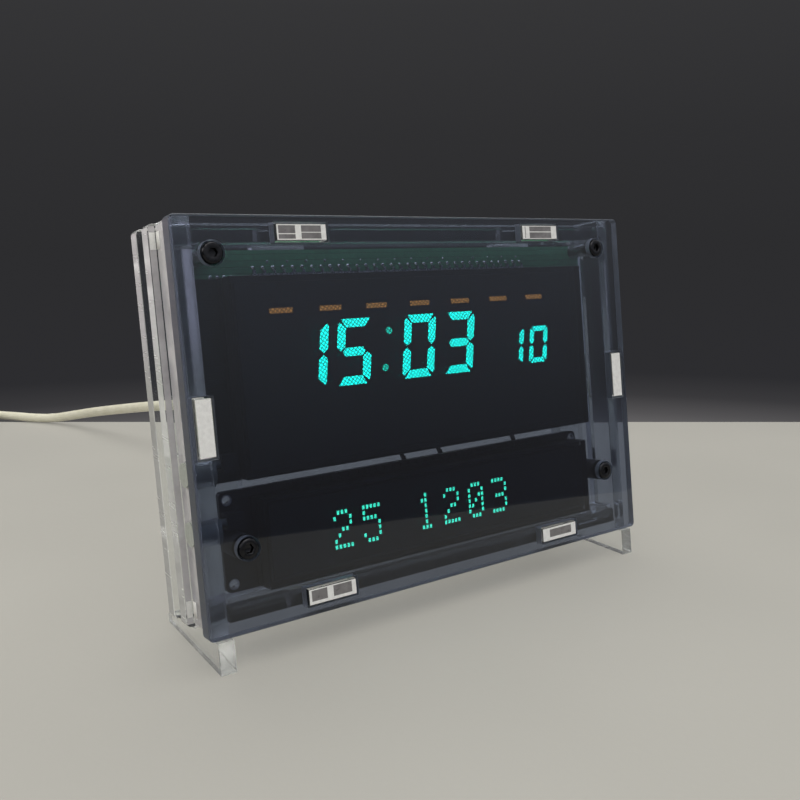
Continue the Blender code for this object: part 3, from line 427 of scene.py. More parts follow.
def make_world():
    """A charcoal backdrop behind the table and a softly lit room in front of it."""
    world = bpy.data.worlds.new("world")
    scene.world = world
    world.use_nodes = True
    tree = world.node_tree
    tree.nodes.clear()

    def add(kind, *links, **settings):
        node = tree.nodes.new(kind)
        for key, value in settings.items():
            setattr(node, key, value)
        for index, source in enumerate(links):
            tree.links.new(source, node.inputs[index])
        return node

    def ramp(source, stops, span):
        low, high = span
        scaled = add("ShaderNodeMapRange", source)
        scaled.inputs["From Min"].default_value = low
        scaled.inputs["From Max"].default_value = high
        node = add("ShaderNodeValToRGB", scaled.outputs["Result"])
        elements = node.color_ramp.elements
        while len(elements) < len(stops):
            elements.new(0.5)
        for element, (at, color) in zip(elements, stops):
            element.position = (at - low) / (high - low)
            element.color = (*color, 1.0)
        return node.outputs["Color"]

    def towards(direction, way, edge):
        """How much a direction of the world faces a way, softly from none to all."""
        facing = add("ShaderNodeVectorMath", direction, operation="DOT_PRODUCT")
        facing.inputs[1].default_value = way
        share = add("ShaderNodeMapRange", facing.outputs["Value"], interpolation_type="SMOOTHSTEP")
        share.inputs["From Min"].default_value, share.inputs["From Max"].default_value = edge
        return share.outputs["Result"]

    direction = add("ShaderNodeTexCoord").outputs["Generated"]
    height = add("ShaderNodeSeparateXYZ", direction).outputs["Z"]
    backdrop = ramp(height, BACKDROP, BACKDROP_SPAN)
    room = ramp(height, ROOM, ROOM_SPAN)
    mixed = add("ShaderNodeMixRGB", towards(direction, ROOM_WAY, ROOM_EDGE), backdrop, room)
    lit = add("ShaderNodeMixRGB", towards(direction, CURTAIN_WAY, CURTAIN_EDGE), mixed.outputs["Color"])
    lit.inputs["Color2"].default_value = CURTAIN_TONE
    light = add("ShaderNodeBackground", lit.outputs["Color"])
    output = add("ShaderNodeOutputWorld")
    tree.links.new(light.outputs[0], output.inputs["Surface"])


def make_lamp(name, place, target, size, power):
    data = bpy.data.lights.new(name, "AREA")
    data.shape = "RECTANGLE"
    data.size, data.size_y = size
    data.energy = power
    data.color = LAMP_COLOR
    lamp = new_object(name, data)
    lamp.location = place
    aim = Vector(target) - Vector(place)
    lamp.rotation_euler = aim.to_track_quat("-Z", "Y").to_euler()


make_camera()
make_floor()
make_world()
for lamp in LAMPS:
    make_lamp(*lamp)


# ---------------------------------------------------------------- the cable

# The points and sizes are part.py's, in metres. The pieces on the cord, its plugs among them, are listed at
# the end.
CORD_RADIUS = 0.0018
CORD_GAP = 0.0003
CORD_SPACING = 0.006
CORD_REST = 0.00002
COIL_CENTRE = (-0.0800, 0.2390)
COIL_RADIUS = 0.0217
COIL_PITCH = 0.0041
COIL_TURNS = 16.0 / 3.0
COIL_START = math.radians(60.0)
COIL_LIFT = 0.00092
COIL_STEPS = 48
TAIL_LENGTH = 0.0280
TAIL_HEIGHT = 0.0038
USB_X, USB_Z, GRIP_FRONT = 0.0765, 0.0295, 0.0208
GRIP_LENGTH, RELIEF_LENGTH = 0.0140, 0.0120
CURVE_STEPS = 24
CORD_ROUTE = (
    (0.0237, 0.0580, 0.0266),
    (0.0218, 0.0760, 0.0246),
    (0.0180, 0.0950, 0.0226),
    (0.0128, 0.1140, 0.0205),
    (0.0070, 0.1315, 0.0184),
    (0.0008, 0.1475, 0.0162),
    (-0.0055, 0.1625, 0.0138),
    (-0.0112, 0.1800, 0.0107),
    (-0.0165, 0.1990, 0.0071),
    (-0.0215, 0.2130, 0.0041),
    (-0.0267, 0.2214, 0.0023),
    (-0.0318, 0.2280, 0.00183),
    (-0.0374, 0.2356, 0.00183),
    (-0.0436, 0.2436, 0.00183),
    (-0.0506, 0.2515, 0.0019),
    (-0.0582, 0.2577, 0.0022),
)


def smooth_path(route, spacing):
    """Points at an even spacing along a smooth curve through the route."""
    route = [Vector(p) for p in route]
    ends = [2 * route[0] - route[1], *route, 2 * route[-1] - route[-2]]
    fine = []
    for before, start, end, after in zip(ends, ends[1:], ends[2:], ends[3:]):
        for step in range(CURVE_STEPS):
            t = step / CURVE_STEPS
            bend = (2 * before - 5 * start + 4 * end - after) * t * t
            twist = (3 * start - before - 3 * end + after) * t * t * t
            fine.append((2 * start + (end - before) * t + bend + twist) / 2)
    fine.append(route[-1])
    reach = [0.0]
    for a, b in zip(fine, fine[1:]):
        reach.append(reach[-1] + (b - a).length)
    count = max(2, round(reach[-1] / spacing))
    path, i = [], 0
    for step in range(count + 1):
        target = reach[-1] * step / count
        while i < len(fine) - 2 and reach[i + 1] < target:
            i += 1
        share = (target - reach[i]) / (reach[i + 1] - reach[i])
        path.append(fine[i].lerp(fine[i + 1], share))
    return path


def coil_point(turn):
    """The coil's line: it spirals in, climbs a layer in the half turn where it reverses, and spirals out."""
    half = COIL_TURNS / 2
    angle = COIL_START + 2 * math.pi * turn
    radius = COIL_RADIUS + COIL_PITCH * (abs(turn - half) - half / 2)
    climb = min(max((turn - half) * 2 + 0.5, 0.0), 1.0)
    height = COIL_LIFT + CORD_RADIUS + COIL_PITCH * climb
    x, y = COIL_CENTRE
    return Vector((x + radius * math.cos(angle), y + radius * math.sin(angle), height))


def coil_heading(turn):
    angle = COIL_START + 2 * math.pi * turn
    return Vector((-math.sin(angle), math.cos(angle), 0.0))


def cable_path():
    """The cable's centreline, from the plug at the clock to the far plug."""
    lead = 2 * CORD_RADIUS
    exit_y = GRIP_FRONT + GRIP_LENGTH + RELIEF_LENGTH + CORD_GAP
    start = CASE @ Vector((USB_X, exit_y, USB_Z))
    ahead = CASE @ Vector((USB_X, exit_y + lead, USB_Z))
    before = coil_point(0) - coil_heading(0) * 2 * lead
    free = [start, *smooth_path([ahead, *CORD_ROUTE, before], CORD_SPACING)]
    count = round(COIL_TURNS * COIL_STEPS)
    coil = [coil_point(COIL_TURNS * i / count) for i in range(count + 1)]
    heading = coil_heading(COIL_TURNS)
    last = coil[-1] + heading * lead
    drop = Vector((0, 0, CORD_REST + TAIL_HEIGHT - last.z))
    first = last + heading * CORD_GAP
    end = first + heading * TAIL_LENGTH + drop
    tail = [first + heading * lead, first + heading * TAIL_LENGTH / 2 + drop / 2, end - heading * lead]
    return [*free, coil[0] - coil_heading(0) * lead, *coil, last, *smooth_path(tail, CORD_SPACING), end]


def make_cable(points):
    curve = bpy.data.curves.new("cable", "CURVE")
    curve.dimensions = "3D"
    curve.bevel_depth = CORD_RADIUS
    curve.bevel_resolution = 4
    curve.use_fill_caps = True
    spline = curve.splines.new("POLY")
    spline.points.add(len(points) - 1)
    for point, place in zip(spline.points, points):
        point.co = (*place, 1.0)
    spline.use_smooth = True
    curve.materials.append(CREAM)
    cable = new_object("cable", curve)
    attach(cable, "clock")
    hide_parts("usb_cable", "usb_cable_coil", "usb_cable_tail")
    return cable


CABLE_POINTS = cable_path()
CABLE = make_cable(CABLE_POINTS)


# ---------------------------------------------------------------- mesh helpers

WELD_NODE, WELD_FLAT = 0.000005, 0.000002
FLAT_ANGLE, SHARP_ANGLE = math.radians(0.5), math.radians(35)
FACE_SHARE = 0.9
FRONT_SCREWS = ((7.1, 65.0), (97.9, 65.0), (8.55, 14.5), (96.45, 14.5))
SCREW_REACH = 3.2
BEAD_SHARES = (0.85, 1.15)
CORNERS = ("top_left", "top_right", "bottom_left", "bottom_right")


def add_piece(name, mesh, materials, nodes=(), smooth=None):
    """Put a mesh of the case's frame into the scene, standing for its CAD nodes."""
    mesh.name = name
    mesh.transform(CASE)
    for material in materials if isinstance(materials, (list, tuple)) else [materials]:
        mesh.materials.append(material)
    if smooth:
        mesh.shade_smooth()
        mesh.set_sharp_from_angle(angle=math.radians(smooth))
    piece = new_object(name, mesh)
    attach(piece, "clock")
    if nodes:
        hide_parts(*nodes)
    return piece


def paint(node, material):
    """Give a CAD node that stays a finished material."""
    data = NODES[node].data
    data.materials.clear()
    data.materials.append(material)


def near_screw(edge):
    middle = (edge.verts[0].co + edge.verts[1].co) / 2
    return any(math.hypot(middle.x - x * MM, middle.z - z * MM) < SCREW_REACH * MM for x, z in FRONT_SCREWS)


def join_flat_faces(shape):
    bmesh.ops.dissolve_limit(
        shape, angle_limit=FLAT_ANGLE, verts=shape.verts, edges=shape.edges, use_dissolve_boundaries=False
    )


def break_edges(shape, bevel, segments=1, spare_screws=False):
    """Bevel the sharp edges, sparing the front screws' seats if asked."""
    sharp = [
        e for e in shape.edges
        if e.is_manifold and e.calc_face_angle() > SHARP_ANGLE and not (spare_screws and near_screw(e))
    ]
    bmesh.ops.bevel(
        shape, geom=sharp, offset=bevel, segments=segments, profile=0.5, affect="EDGES", clamp_overlap=True
    )


def refined(node, bevel, axis=None, segments=1, spare_screws=False):
    """A CAD node's shape in the case's frame with broken edges. Only faces across the axis get material 0."""
    mesh = NODES[node].data.copy()
    mesh.materials.clear()
    mesh.transform(CASE.inverted())
    shape = bmesh.new()
    shape.from_mesh(mesh)
    bmesh.ops.remove_doubles(shape, verts=shape.verts, dist=WELD_NODE)
    join_flat_faces(shape)
    break_edges(shape, bevel, segments, spare_screws)
    shape.normal_update()
    for face in shape.faces:
        face.material_index = 0 if axis is None or abs(face.normal[axis]) > FACE_SHARE else 1
    shape.to_mesh(mesh)
    shape.free()
    return mesh


def flat_piece(name, loops, front, back, bevel=0.0):
    """A flat piece of the case's frame in millimetres, drawn in x and z, from front to back in y."""
    curve = bpy.data.curves.new(name, "CURVE")
    curve.dimensions = "2D"
    curve.fill_mode = "BOTH"
    curve.extrude = (back - front) / 2 * MM
    for loop in loops:
        spline = curve.splines.new("POLY")
        spline.points.add(len(loop) - 1)
        for point, (x, z) in zip(spline.points, loop):
            point.co = (x * MM, z * MM, 0.0, 1.0)
        spline.use_cyclic_u = True
    holder = new_object(name, curve)
    mesh = bpy.data.meshes.new_from_object(holder.evaluated_get(bpy.context.evaluated_depsgraph_get()))
    bpy.data.objects.remove(holder, do_unlink=True)
    middle = Matrix.Translation((0, (front + back) / 2 * MM, 0))
    mesh.transform(middle @ Matrix.Rotation(math.radians(90), 4, "X"))
    mesh.materials.clear()
    shape = bmesh.new()
    shape.from_mesh(mesh)
    bmesh.ops.remove_doubles(shape, verts=shape.verts, dist=WELD_FLAT)
    if bevel:
        join_flat_faces(shape)
        break_edges(shape, bevel * MM)
    bmesh.ops.recalc_face_normals(shape, faces=shape.faces)
    shape.to_mesh(mesh)
    shape.free()
    return mesh


def merged(name, parts):
    """One mesh from several in the same frame."""
    shape = bmesh.new()
    for part in parts:
        shape.from_mesh(part)
        bpy.data.meshes.remove(part)
    mesh = bpy.data.meshes.new(name)
    shape.to_mesh(mesh)
    shape.free()
    return mesh


def rectangle(left, right, low, high):
    return [(left, low), (right, low), (right, high), (left, high)]


def circle(x, z, radius, steps=24):
    return [
        (x + radius * math.cos(2 * math.pi * i / steps), z + radius * math.sin(2 * math.pi * i / steps))
        for i in range(steps)
    ]


def block(left, right, front, back, low, high):
    return flat_piece("block", [rectangle(left, right, low, high)], front, back)


def ring(x, z, outer, inner, front, back, steps=24, bevel=0.0):
    return flat_piece("ring", [circle(x, z, outer, steps), circle(x, z, inner, steps)], front, back, bevel)


def beads(name, places, radius, depth):
    """Small domes of solder on a board, at places x, z and y, in millimetres."""
    shape = bmesh.new()
    for x, z, y in places:
        size = radius * random.uniform(*BEAD_SHARES)
        ball = bmesh.ops.create_icosphere(shape, subdivisions=1, radius=1.0)["verts"]
        bmesh.ops.scale(shape, vec=(size * MM, depth * MM, size * MM), verts=ball)
        bmesh.ops.translate(shape, vec=(x * MM, y * MM, z * MM), verts=ball)
    mesh = bpy.data.meshes.new(name)
    shape.to_mesh(mesh)
    shape.free()
    add_piece(name, mesh, SOLDER, smooth=60)


def rounded(node, bevel, material, slot, segments):
    """A CAD node's shape with rounded edges in its finished material."""
    skin = refined(node, bevel, segments=segments)
    return add_piece(f"{node}_skin", skin, material, [node], smooth=40)


# ---------------------------------------------------------------- the case

SHEET_BREAK = 0.00012
POLISHED_RIGHT, POLISHED_LOW = 104.5, 0.5
# Node, the axis across the sheet, material of its faces, material of its cut edges.
SHEETS = (
    ("front_panel", 1, SMOKE, SMOKE_EDGE),
    ("inner_back_plate", 1, CLEAR, EDGE_Y),
    ("rear_cover", 1, CLEAR, EDGE_Y),
    ("left_side_panel", 0, CLEAR, EDGE_X),
    ("right_side_panel", 0, CLEAR, EDGE_X),
    ("top_panel", 2, CLEAR, EDGE_Z),
    ("bottom_panel", 2, CLEAR, EDGE_Z),
)
for node, axis, face, edge in SHEETS:
    sheet = refined(node, SHEET_BREAK, axis, spare_screws=True)
    if edge is EDGE_Y:
        for side in sheet.polygons:
            polished = side.center.x > POLISHED_RIGHT * MM or side.center.z < POLISHED_LOW * MM
            if side.material_index == 1 and polished:
                side.material_index = 2
    add_piece(f"{node}_sheet", sheet, [face, edge, EDGE_CLEAR], [node])


# ---------------------------------------------------------------- haze and the frosted ends of the tabs

# The marks stand a little off the panel, and the front of each a little off the last one's.
TAB_FRONT, TAB_BACK, TAB_MARGIN = -0.04, -0.01, 0.14
MARK_STEP, INSIDE_DEPTH = 0.002, 0.012
# Each tab's left, right, low and high, and the frosted marks on it as shares of its width and height.
TAB_MARKS = {
    "tab_top_left": (19, 29, 66.9, 69.9, (
        (0, 1, 0, 0.07), (0, 1, 0.93, 1), (0, 0.03, 0, 1), (0.37, 0.49, 0, 1), (0.90, 1, 0, 1),
        (0.03, 0.37, 0.36, 0.42), (0.49, 0.90, 0.46, 0.51),
    )),
    "tab_top_right": (76, 86, 66.9, 69.9, (
        (0, 1, 0, 0.05), (0, 1, 0.95, 1), (0, 0.07, 0, 1), (0.09, 0.20, 0, 1), (0.84, 1, 0, 1),
        (0.20, 0.84, 0.50, 0.57),
    )),
    "tab_bottom_left": (19, 29, 1.8, 4.8, (
        (0, 1, 0, 0.20), (0, 1, 0.93, 1), (0, 0.05, 0, 1), (0.38, 0.51, 0, 1), (0.91, 1, 0, 1),
    )),
    "tab_bottom_right": (76, 86, 1.8, 4.8, (
        (0, 1, 0, 0.24), (0, 1, 0.86, 1), (0, 0.20, 0, 1), (0.86, 1, 0, 1),
    )),
    "tab_side_left": (1.4, 4.4, 31, 41, ((0, 1, 0, 1),)),
    "tab_side_right": (100.6, 103.6, 31, 41, ((0, 1, 0, 1),)),
}
for name, (left, right, low, high, marks) in TAB_MARKS.items():
    left, right = left + TAB_MARGIN, right - TAB_MARGIN
    low, high = low + TAB_MARGIN, high - TAB_MARGIN
    wide, tall = right - left, high - low
    parts = [
        block(
            left + a * wide, left + b * wide, TAB_FRONT - MARK_STEP * i, TAB_BACK,
            low + c * tall, low + d * tall,
        )
        for i, (a, b, c, d) in enumerate(marks)
    ]
    add_piece(f"{name}_frost", merged(name, parts), FROST)
    if len(marks) > 1:
        inside = block(left, right, TAB_BACK - INSIDE_DEPTH, TAB_BACK, low, high)
        add_piece(f"{name}_inside", inside, TAB_INSIDE)

# Thin strips on the left wall and plate: name, left, thickness, front, back, low, high, material.
STRIPS = [
    ("left_wall_haze", 1.370, 0.015, 3.6, 10.5, 0.6, 71.0, FILM),
    ("left_rim_haze", 0.15, 1.15, 10.93, 10.945, 0.6, 71.0, FILM),
    ("left_rim_haze_under", 0.15, 1.15, 10.96, 10.975, 0.6, 71.0, FILM),
]
for end, low, high in (("high", 66.9, 69.9), ("low", 1.8, 4.8)):
    STRIPS.append((f"left_lap_mark_{end}", 0.25, 1.05, 10.90, 10.92, low, high, FROST))
    STRIPS.append((f"left_lap_mark_{end}_side", 1.34, 0.015, 8.9, 10.6, low, high, FROST))
for name, left, thick, front, back, low, high, material in STRIPS:
    add_piece(name, block(left, left + thick, front, back, low, high), material)


# ---------------------------------------------------------------- screws, posts and spacers

SCREW_BREAK = 0.00018

for corner in CORNERS:
    for side in ("front", "rear"):
        node = f"{side}_screw_{corner}"
        body = refined(node, SCREW_BREAK, segments=3)
        add_piece(f"{node}_body", body, BLACK_OXIDE, [node], smooth=50)
    paint(f"post_{corner}", CLEAR if corner.startswith("top") else NYLON)
    paint(f"rear_spacer_{corner}", NYLON)


# ---------------------------------------------------------------- displays

PRINT_FRONT, PRINT_BACK = 6.90, 6.98
SLANT = math.tan(math.radians(8.0))
TUBE_BREAK = 0.0001
# The lit segments of each character.
LIT = {"0": "abcdef", "1": "bc", "3": "abcdg", "5": "acdfg"}
# A digit's width, height, width of upright bars, of level bars, gap between bars, cut corner.
BIG = (7.65, 12.6, 1.74, 1.62, 0.20, 0.45)
SMALL = (5.15, 8.0, 1.14, 1.08, 0.13, 0.3)
# The characters of the time, each with its cell's left and low edge and its size.
DIGITS = {
    "hour_tens": ("1", 21.55, 40.2, BIG), "hour_ones": ("5", 31.2, 40.2, BIG),
    "minute_tens": ("0", 46.45, 40.2, BIG), "minute_ones": ("3", 56.5, 40.2, BIG),
    "second_tens": ("1", 73.1, 40.55, SMALL), "second_ones": ("0", 80.1, 40.55, SMALL),
}
COLON_DOTS, COLON_RADIUS = ((44.16, 50.03), (42.68, 42.83)), 0.70
BAR_COUNT, BAR_PITCH = 7, 10.25
BAR_LEFT, BAR_RIGHT, BAR_LOW, BAR_HIGH = 18.95, 23.6, 54.6, 55.55
# The date's characters as rows of dots, from the top.
FONT = {
    "0": ("01110", "10001", "10011", "10101", "11001", "10001", "01110"),
    "1": ("00100", "01100", "00100", "00100", "00100", "00100", "01110"),
    "2": ("01110", "10001", "00001", "00110", "01000", "10000", "11111"),
    "3": ("11110", "00001", "00001", "01110", "00001", "00001", "11110"),
    "5": ("11111", "10000", "11110", "00001", "00001", "10001", "01110"),
}
# The date's text by cell, and the places of the cells and their dots.
DATE_TEXT = {0: "2", 1: "5", 3: "1", 4: "2", 5: "0", 6: "3"}
CELL_START, CELL_PITCH, DOT_TOP = 30.2, 6.47, 16.3
DOT_PITCH_X, DOT_PITCH_Z = 0.86, 1.10
DOT_HALF_X, DOT_HALF_Z = 0.24, 0.37
MIDDLE_COLUMN = 2
# Where the bars of a digit meet: depth of the middle points and of the pointed ends, as shares of a bar.
MIDDLE_DIP, MIDDLE_POINT = 0.42, 0.62


def printed(loop):
    return flat_piece("print", [loop], PRINT_FRONT, PRINT_BACK)


def segment_shapes(width, height, upright, level, gap, corner):
    """The seven segments of a digit, as outlines in a cell that isn't slanted yet."""
    mid = height / 2
    dip = upright * MIDDLE_DIP
    point = upright * MIDDLE_POINT + gap
    inner = upright + gap
    top = [
        (corner + gap, height),
        (width - corner - gap, height),
        (width - upright - gap * 0.3, height - level),
        (upright + gap * 0.3, height - level),
    ]
    upper = [
        (0, mid + dip + gap),
        (upright * 0.5, mid + gap),
        (upright, mid + dip + gap * 1.5),
        (upright, height - level - gap),
        (corner * 0.7, height - corner - gap),
        (0, height - corner * 2 - gap),
    ]
    middle = [
        (point, mid),
        (inner, mid + level / 2),
        (width - inner, mid + level / 2),
        (width - point, mid),
        (width - inner, mid - level / 2),
        (inner, mid - level / 2),
    ]
    upper_right = [(width - x, z) for x, z in upper]
    upside_down = {
        key: [(x, height - z) for x, z in shape]
        for key, shape in (("c", upper_right), ("d", top), ("e", upper))
    }
    return {"a": top, "b": upper_right, "f": upper, "g": middle, **upside_down}


def make_digit(name, character, left, low, size, on):
    """The segments of a digit that are lit, or those that aren't."""
    parts = []
    for key, shape in sorted(segment_shapes(*size).items()):
        if (key in LIT[character]) == on:
            parts.append(printed([(left + x + z * SLANT, low + z) for x, z in shape]))
    if parts:
        add_piece(name, merged(name, parts), GLOW if on else UNLIT)


for tube in ("time_display", "date_display"):
    cover = refined(f"{tube}_cover", TUBE_BREAK, 1)
    add_piece(f"{tube}_glass", cover, [GLASS, SEAL], [f"{tube}_cover"])
    paint(f"{tube}_anode_plate", ANODE)
for place, (character, left, low, size) in DIGITS.items():
    make_digit(f"{place}_lit", character, left, low, size, True)
    make_digit(f"{place}_unlit", character, left, low, size, False)
colon = [printed(circle(x, z, COLON_RADIUS)) for x, z in COLON_DOTS]
add_piece("colon_dots", merged("colon_dots", colon), COLON_GLOW)
bars = [
    printed(rectangle(BAR_LEFT + BAR_PITCH * i, BAR_RIGHT + BAR_PITCH * i, BAR_LOW, BAR_HIGH))
    for i in range(BAR_COUNT)
]
add_piece("day_bars", merged("day_bars", bars), AMBER)
dots = []
for cell, character in DATE_TEXT.items():
    for row, line in enumerate(FONT[character]):
        for column, mark in enumerate(line):
            if mark == "1":
                x = CELL_START + CELL_PITCH * cell + (column - MIDDLE_COLUMN) * DOT_PITCH_X
                z = DOT_TOP - row * DOT_PITCH_Z
                dot = rectangle(x - DOT_HALF_X, x + DOT_HALF_X, z - DOT_HALF_Z, z + DOT_HALF_Z)
                dots.append(printed(dot))
add_piece("date_dots", merged("date_dots", dots), DOT_GLOW)


# ---------------------------------------------------------------- the boards' solder

BOARD_FRONT, VIA_FRONT, BOARD_BACK = 9.08, 9.09, 10.72
LEAD_Z, HEADER_Z, VIA_Z = 63.15, 61.6, 64.2
PIN_START, PIN_PITCH, PIN_COUNT = 17.6, 2.0, 33
PIN_X = [PIN_START + PIN_PITCH * i for i in range(PIN_COUNT)]
HEADER_X = (9.35, 10.65, 11.95, 13.24)
WIRE_X, WIRE_ENDS = (48.5, 57.87, 78.5), (26.7, 22.0)
# The plated holes in the date board's corners, and each hole's ring, barrel and ring: radius, front, back.
HOLE_X, HOLE_Z, HOLE_RADIUS = (8.4, 93.65), (6.7, 22.0), 0.80
PLATING = ((1.02, 9.05, 9.095), (0.88, 9.095, 10.705), (1.02, 10.705, 10.75))

random.seed(5)
beads("lead_solder", [(x, LEAD_Z, BOARD_FRONT) for x in PIN_X], radius=0.42, depth=0.30)
beads("header_solder", [(x, HEADER_Z, BOARD_FRONT) for x in HEADER_X], radius=0.45, depth=0.35)
beads("via_row", [(x + PIN_PITCH / 2, VIA_Z, VIA_FRONT) for x in PIN_X[1:-1:2]], radius=0.25, depth=0.12)
plating = [
    ring(x, z, outer, HOLE_RADIUS, front, back)
    for x in HOLE_X for z in HOLE_Z for outer, front, back in PLATING
]
add_piece("date_board_pads", merged("date_board_pads", plating), SOLDER)


# ---------------------------------------------------------------- behind the boards

# Replaced nodes: rounding in metres, material, slot, steps of the rounding.
SKINS = {
    "display_driver": (0.00018, CHIP_SKIN, "chip_plastic", 1),
    "clock_chip": (0.00014, CHIP_SKIN, "chip_plastic", 1),
    "date_driver": (0.00016, CHIP_SKIN, "chip_plastic", 1),
    "boost_inductor": (0.0006, CHIP_SKIN, "chip_plastic", 3),
    "buzzer": (0.0002, CHIP_SKIN, "chip_plastic", 2),
    "wifi_shield": (0.00035, CAN, "can_aluminium", 3),
    "usb_socket": (0.00012, PLATE, "bright_steel", 2),
    "usb_plug_grip": (0.0003, CREAM, "cord_cover", 3),
    "far_plug_grip": (0.0003, CREAM, "cord_cover", 3),
    "far_plug_shell": (0.00012, PLATE, "bright_steel", 2),
}
PAINTED = (
    (GREEN, ("main_board",)),
    (BLACK, ("date_board", "wifi_module")),
    (STEEL, ("time_display_leads",)),
    (CHIP_SKIN, ("lower_switch", "upper_switch")),
    (CAN, ("input_capacitor", "output_capacitor")),
    (PLATE, ("cell_holder", "backup_cell", "usb_plug_shell")),
    (NYLON, ("date_display_leads", "link_wire_left", "link_wire_middle", "link_wire_right")),
    (BUTTON, ("lower_button", "upper_button")),
    (LOOP_TAPE, ("cable_tie",)),
)
# A leg's three runs: start and end beyond the chip's side, front, back.
LEG_RUNS = ((-0.02, 0.30, 11.55, 11.70), (0.26, 0.40, 10.86, 11.70), (0.26, 0.85, 10.72, 10.88))
# Both sides that have legs, the stretch they take, their count and width, and whether they run along z.
LEGS = {
    "display_driver_legs": (41.1, 51.1, 48.1, 57.4, 11, 0.34, False),
    "display_driver_legs_ends": (47.74, 57.74, 41.5, 50.7, 11, 0.34, True),
    "clock_chip_legs": (54.47, 58.47, 57.7, 62.5, 4, 0.38, True),
    "date_driver_legs": (11.9, 17.9, 46.3, 53.9, 8, 0.36, True),
}
CAPACITOR_X, CAPACITOR_Z = {"input": 60.1, "output": 68.9}, 45.81
BASE_HALF, BASE_CUT, BASE_HOLE, BASE_FRONT, BASE_BACK = 3.35, 2.4, 3.17, 10.74, 11.8
MARK_RADIUS, MARK_ANGLES, MARK_FRONT, MARK_BACK = 2.86, range(-52, 53, 8), 16.40, 16.42
# Left, right, front, back, low and high of the clips that hold the cell.
CELL_CLIPS = (
    (75.4, 76.5, 10.74, 14.30, 48.0, 52.2), (89.3, 90.4, 10.74, 14.30, 48.0, 52.2),
    (75.4, 78.6, 14.0, 14.30, 48.0, 52.2), (87.2, 90.4, 14.0, 14.30, 48.0, 52.2),
)
AERIAL_LEFT, AERIAL_PITCH, AERIAL_LINE, AERIAL_UPRIGHTS = 19.6, 1.8, 0.4, 9
AERIAL_LOW, AERIAL_HIGH, AERIAL_FRONT, AERIAL_BACK = 50.8, 55.9, 11.805, 11.84
PAD_X, PAD_Z, PAD_WIDE, PAD_HALF = (18.95, 33.95), [34.6 + 1.6 * i for i in range(9)], 0.9, 0.4
PAD_FRONT, PAD_BACK = 11.80, 11.83
# The pale ring on the inductor: place, outer and inner radius, front, back.
GROOVE = (62.1, 34.62, 2.9, 2.6, 14.50, 14.53)
# The ribs of the plug's relief, and the relief's radius at the grip and what it loses to its end.
RIB_COUNT, RIB_PITCH, RIB_WIDE, RIB_START = 5, 2.0, 1.0, 1.4
RIB_PROUD, RIB_SUNK, RIB_BREAK = 0.28, 0.15, 0.12
RELIEF_RADIUS, RELIEF_TAPER = 2.7, 0.5


def make_legs(name, first, second, low, high, count, width, along_z):
    """Gull-wing legs on two sides of a chip: out of the body, down, and flat on the board."""
    parts = []
    for i in range(count):
        at = low + (high - low) * (i + 0.5) / count
        span = (at - width / 2, at + width / 2)
        for edge, way in ((first, -1), (second, 1)):
            for near, far, front, back in LEG_RUNS:
                run = sorted((edge + way * near, edge + way * far))
                sides = (*span, front, back, *run) if along_z else (*run, front, back, *span)
                parts.append(block(*sides))
    add_piece(name, merged(name, parts), STEEL)


def make_capacitor_trim(name, x, z):
    """The plastic base with two cut corners and the dark mark on top of a capacitor."""
    corners = (
        (-BASE_HALF, -BASE_HALF), (BASE_CUT, -BASE_HALF), (BASE_HALF, -BASE_CUT),
        (BASE_HALF, BASE_CUT), (BASE_CUT, BASE_HALF), (-BASE_HALF, BASE_HALF),
    )
    outline = [(x + right, z + up) for right, up in corners]
    base = flat_piece(name, [outline, circle(x, z, BASE_HOLE, steps=32)], BASE_FRONT, BASE_BACK)
    add_piece(f"{name}_capacitor_base", base, CHIP_SKIN)
    angles = [math.radians(angle) for angle in MARK_ANGLES]
    mark = [(x - MARK_RADIUS * math.cos(a), z + MARK_RADIUS * math.sin(a)) for a in angles]
    stripe = flat_piece(name, [mark], MARK_FRONT, MARK_BACK)
    add_piece(f"{name}_capacitor_mark", stripe, CHIP_SKIN)


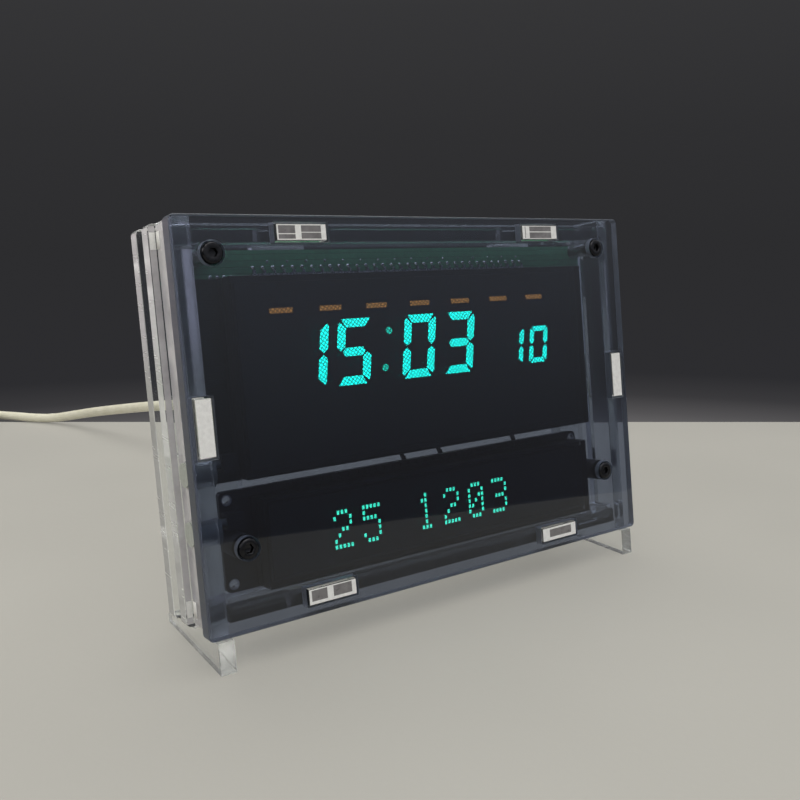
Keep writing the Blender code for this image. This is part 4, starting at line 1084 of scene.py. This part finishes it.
def aerial_parts():
    """The uprights of the aerial's trace and the runs that join them, high and low by turns."""
    lefts = [AERIAL_LEFT + AERIAL_PITCH * i for i in range(AERIAL_UPRIGHTS)]
    parts = [block(x, x + AERIAL_LINE, AERIAL_FRONT, AERIAL_BACK, AERIAL_LOW, AERIAL_HIGH) for x in lefts]
    for i, x in enumerate(lefts[:-1]):
        low = AERIAL_HIGH - AERIAL_LINE if i % 2 else AERIAL_LOW
        right = x + AERIAL_PITCH + AERIAL_LINE
        parts.append(block(x, right, AERIAL_FRONT, AERIAL_BACK, low, low + AERIAL_LINE))
    return parts


def relief_ribs():
    """The moulded ribs on the plug's tapered strain relief."""
    parts = []
    for i in range(RIB_COUNT):
        along = RIB_START + RIB_PITCH * i
        radius = RELIEF_RADIUS - RELIEF_TAPER * along * MM / RELIEF_LENGTH
        outer, inner = radius + RIB_PROUD, radius - RIB_SUNK
        front = (GRIP_FRONT + GRIP_LENGTH) / MM + along
        parts.append(ring(USB_X / MM, USB_Z / MM, outer, inner, front, front + RIB_WIDE, 32, RIB_BREAK))
    return parts


skins = {node: rounded(node, *finish) for node, finish in SKINS.items()}
for material, nodes in PAINTED:
    for node in nodes:
        paint(node, material)
for name, sizes in LEGS.items():
    make_legs(name, *sizes)
for name, x in CAPACITOR_X.items():
    make_capacitor_trim(name, x, CAPACITOR_Z)
clips = [block(*sides) for sides in CELL_CLIPS]
add_piece("cell_clips", merged("cell_clips", clips), PLATE)
add_piece("wifi_antenna", merged("wifi_antenna", aerial_parts()), TRACE)
pads = [
    block(x, x + PAD_WIDE, PAD_FRONT, PAD_BACK, z - PAD_HALF, z + PAD_HALF)
    for x in PAD_X for z in PAD_Z
]
add_piece("wifi_pads", merged("wifi_pads", pads), TRACE)
add_piece("inductor_groove", ring(*GROOVE, steps=40), CAN)
beads("lead_joints", [(x, LEAD_Z, BOARD_BACK) for x in PIN_X], radius=0.52, depth=0.70)
beads("link_joints", [(x, z, BOARD_BACK) for x in WIRE_X for z in WIRE_ENDS], radius=0.95, depth=0.55)
ribs = merged("plug_relief_ribs", relief_ribs())

# The pieces that sit on the cable, its plugs among them.
on_cable = [
    skins["usb_plug_grip"],
    skins["far_plug_grip"],
    skins["far_plug_shell"],
    NODES["usb_plug_shell"],
    NODES["cable_tie"],
    add_piece("plug_relief_ribs", ribs, CREAM, smooth=50),
]
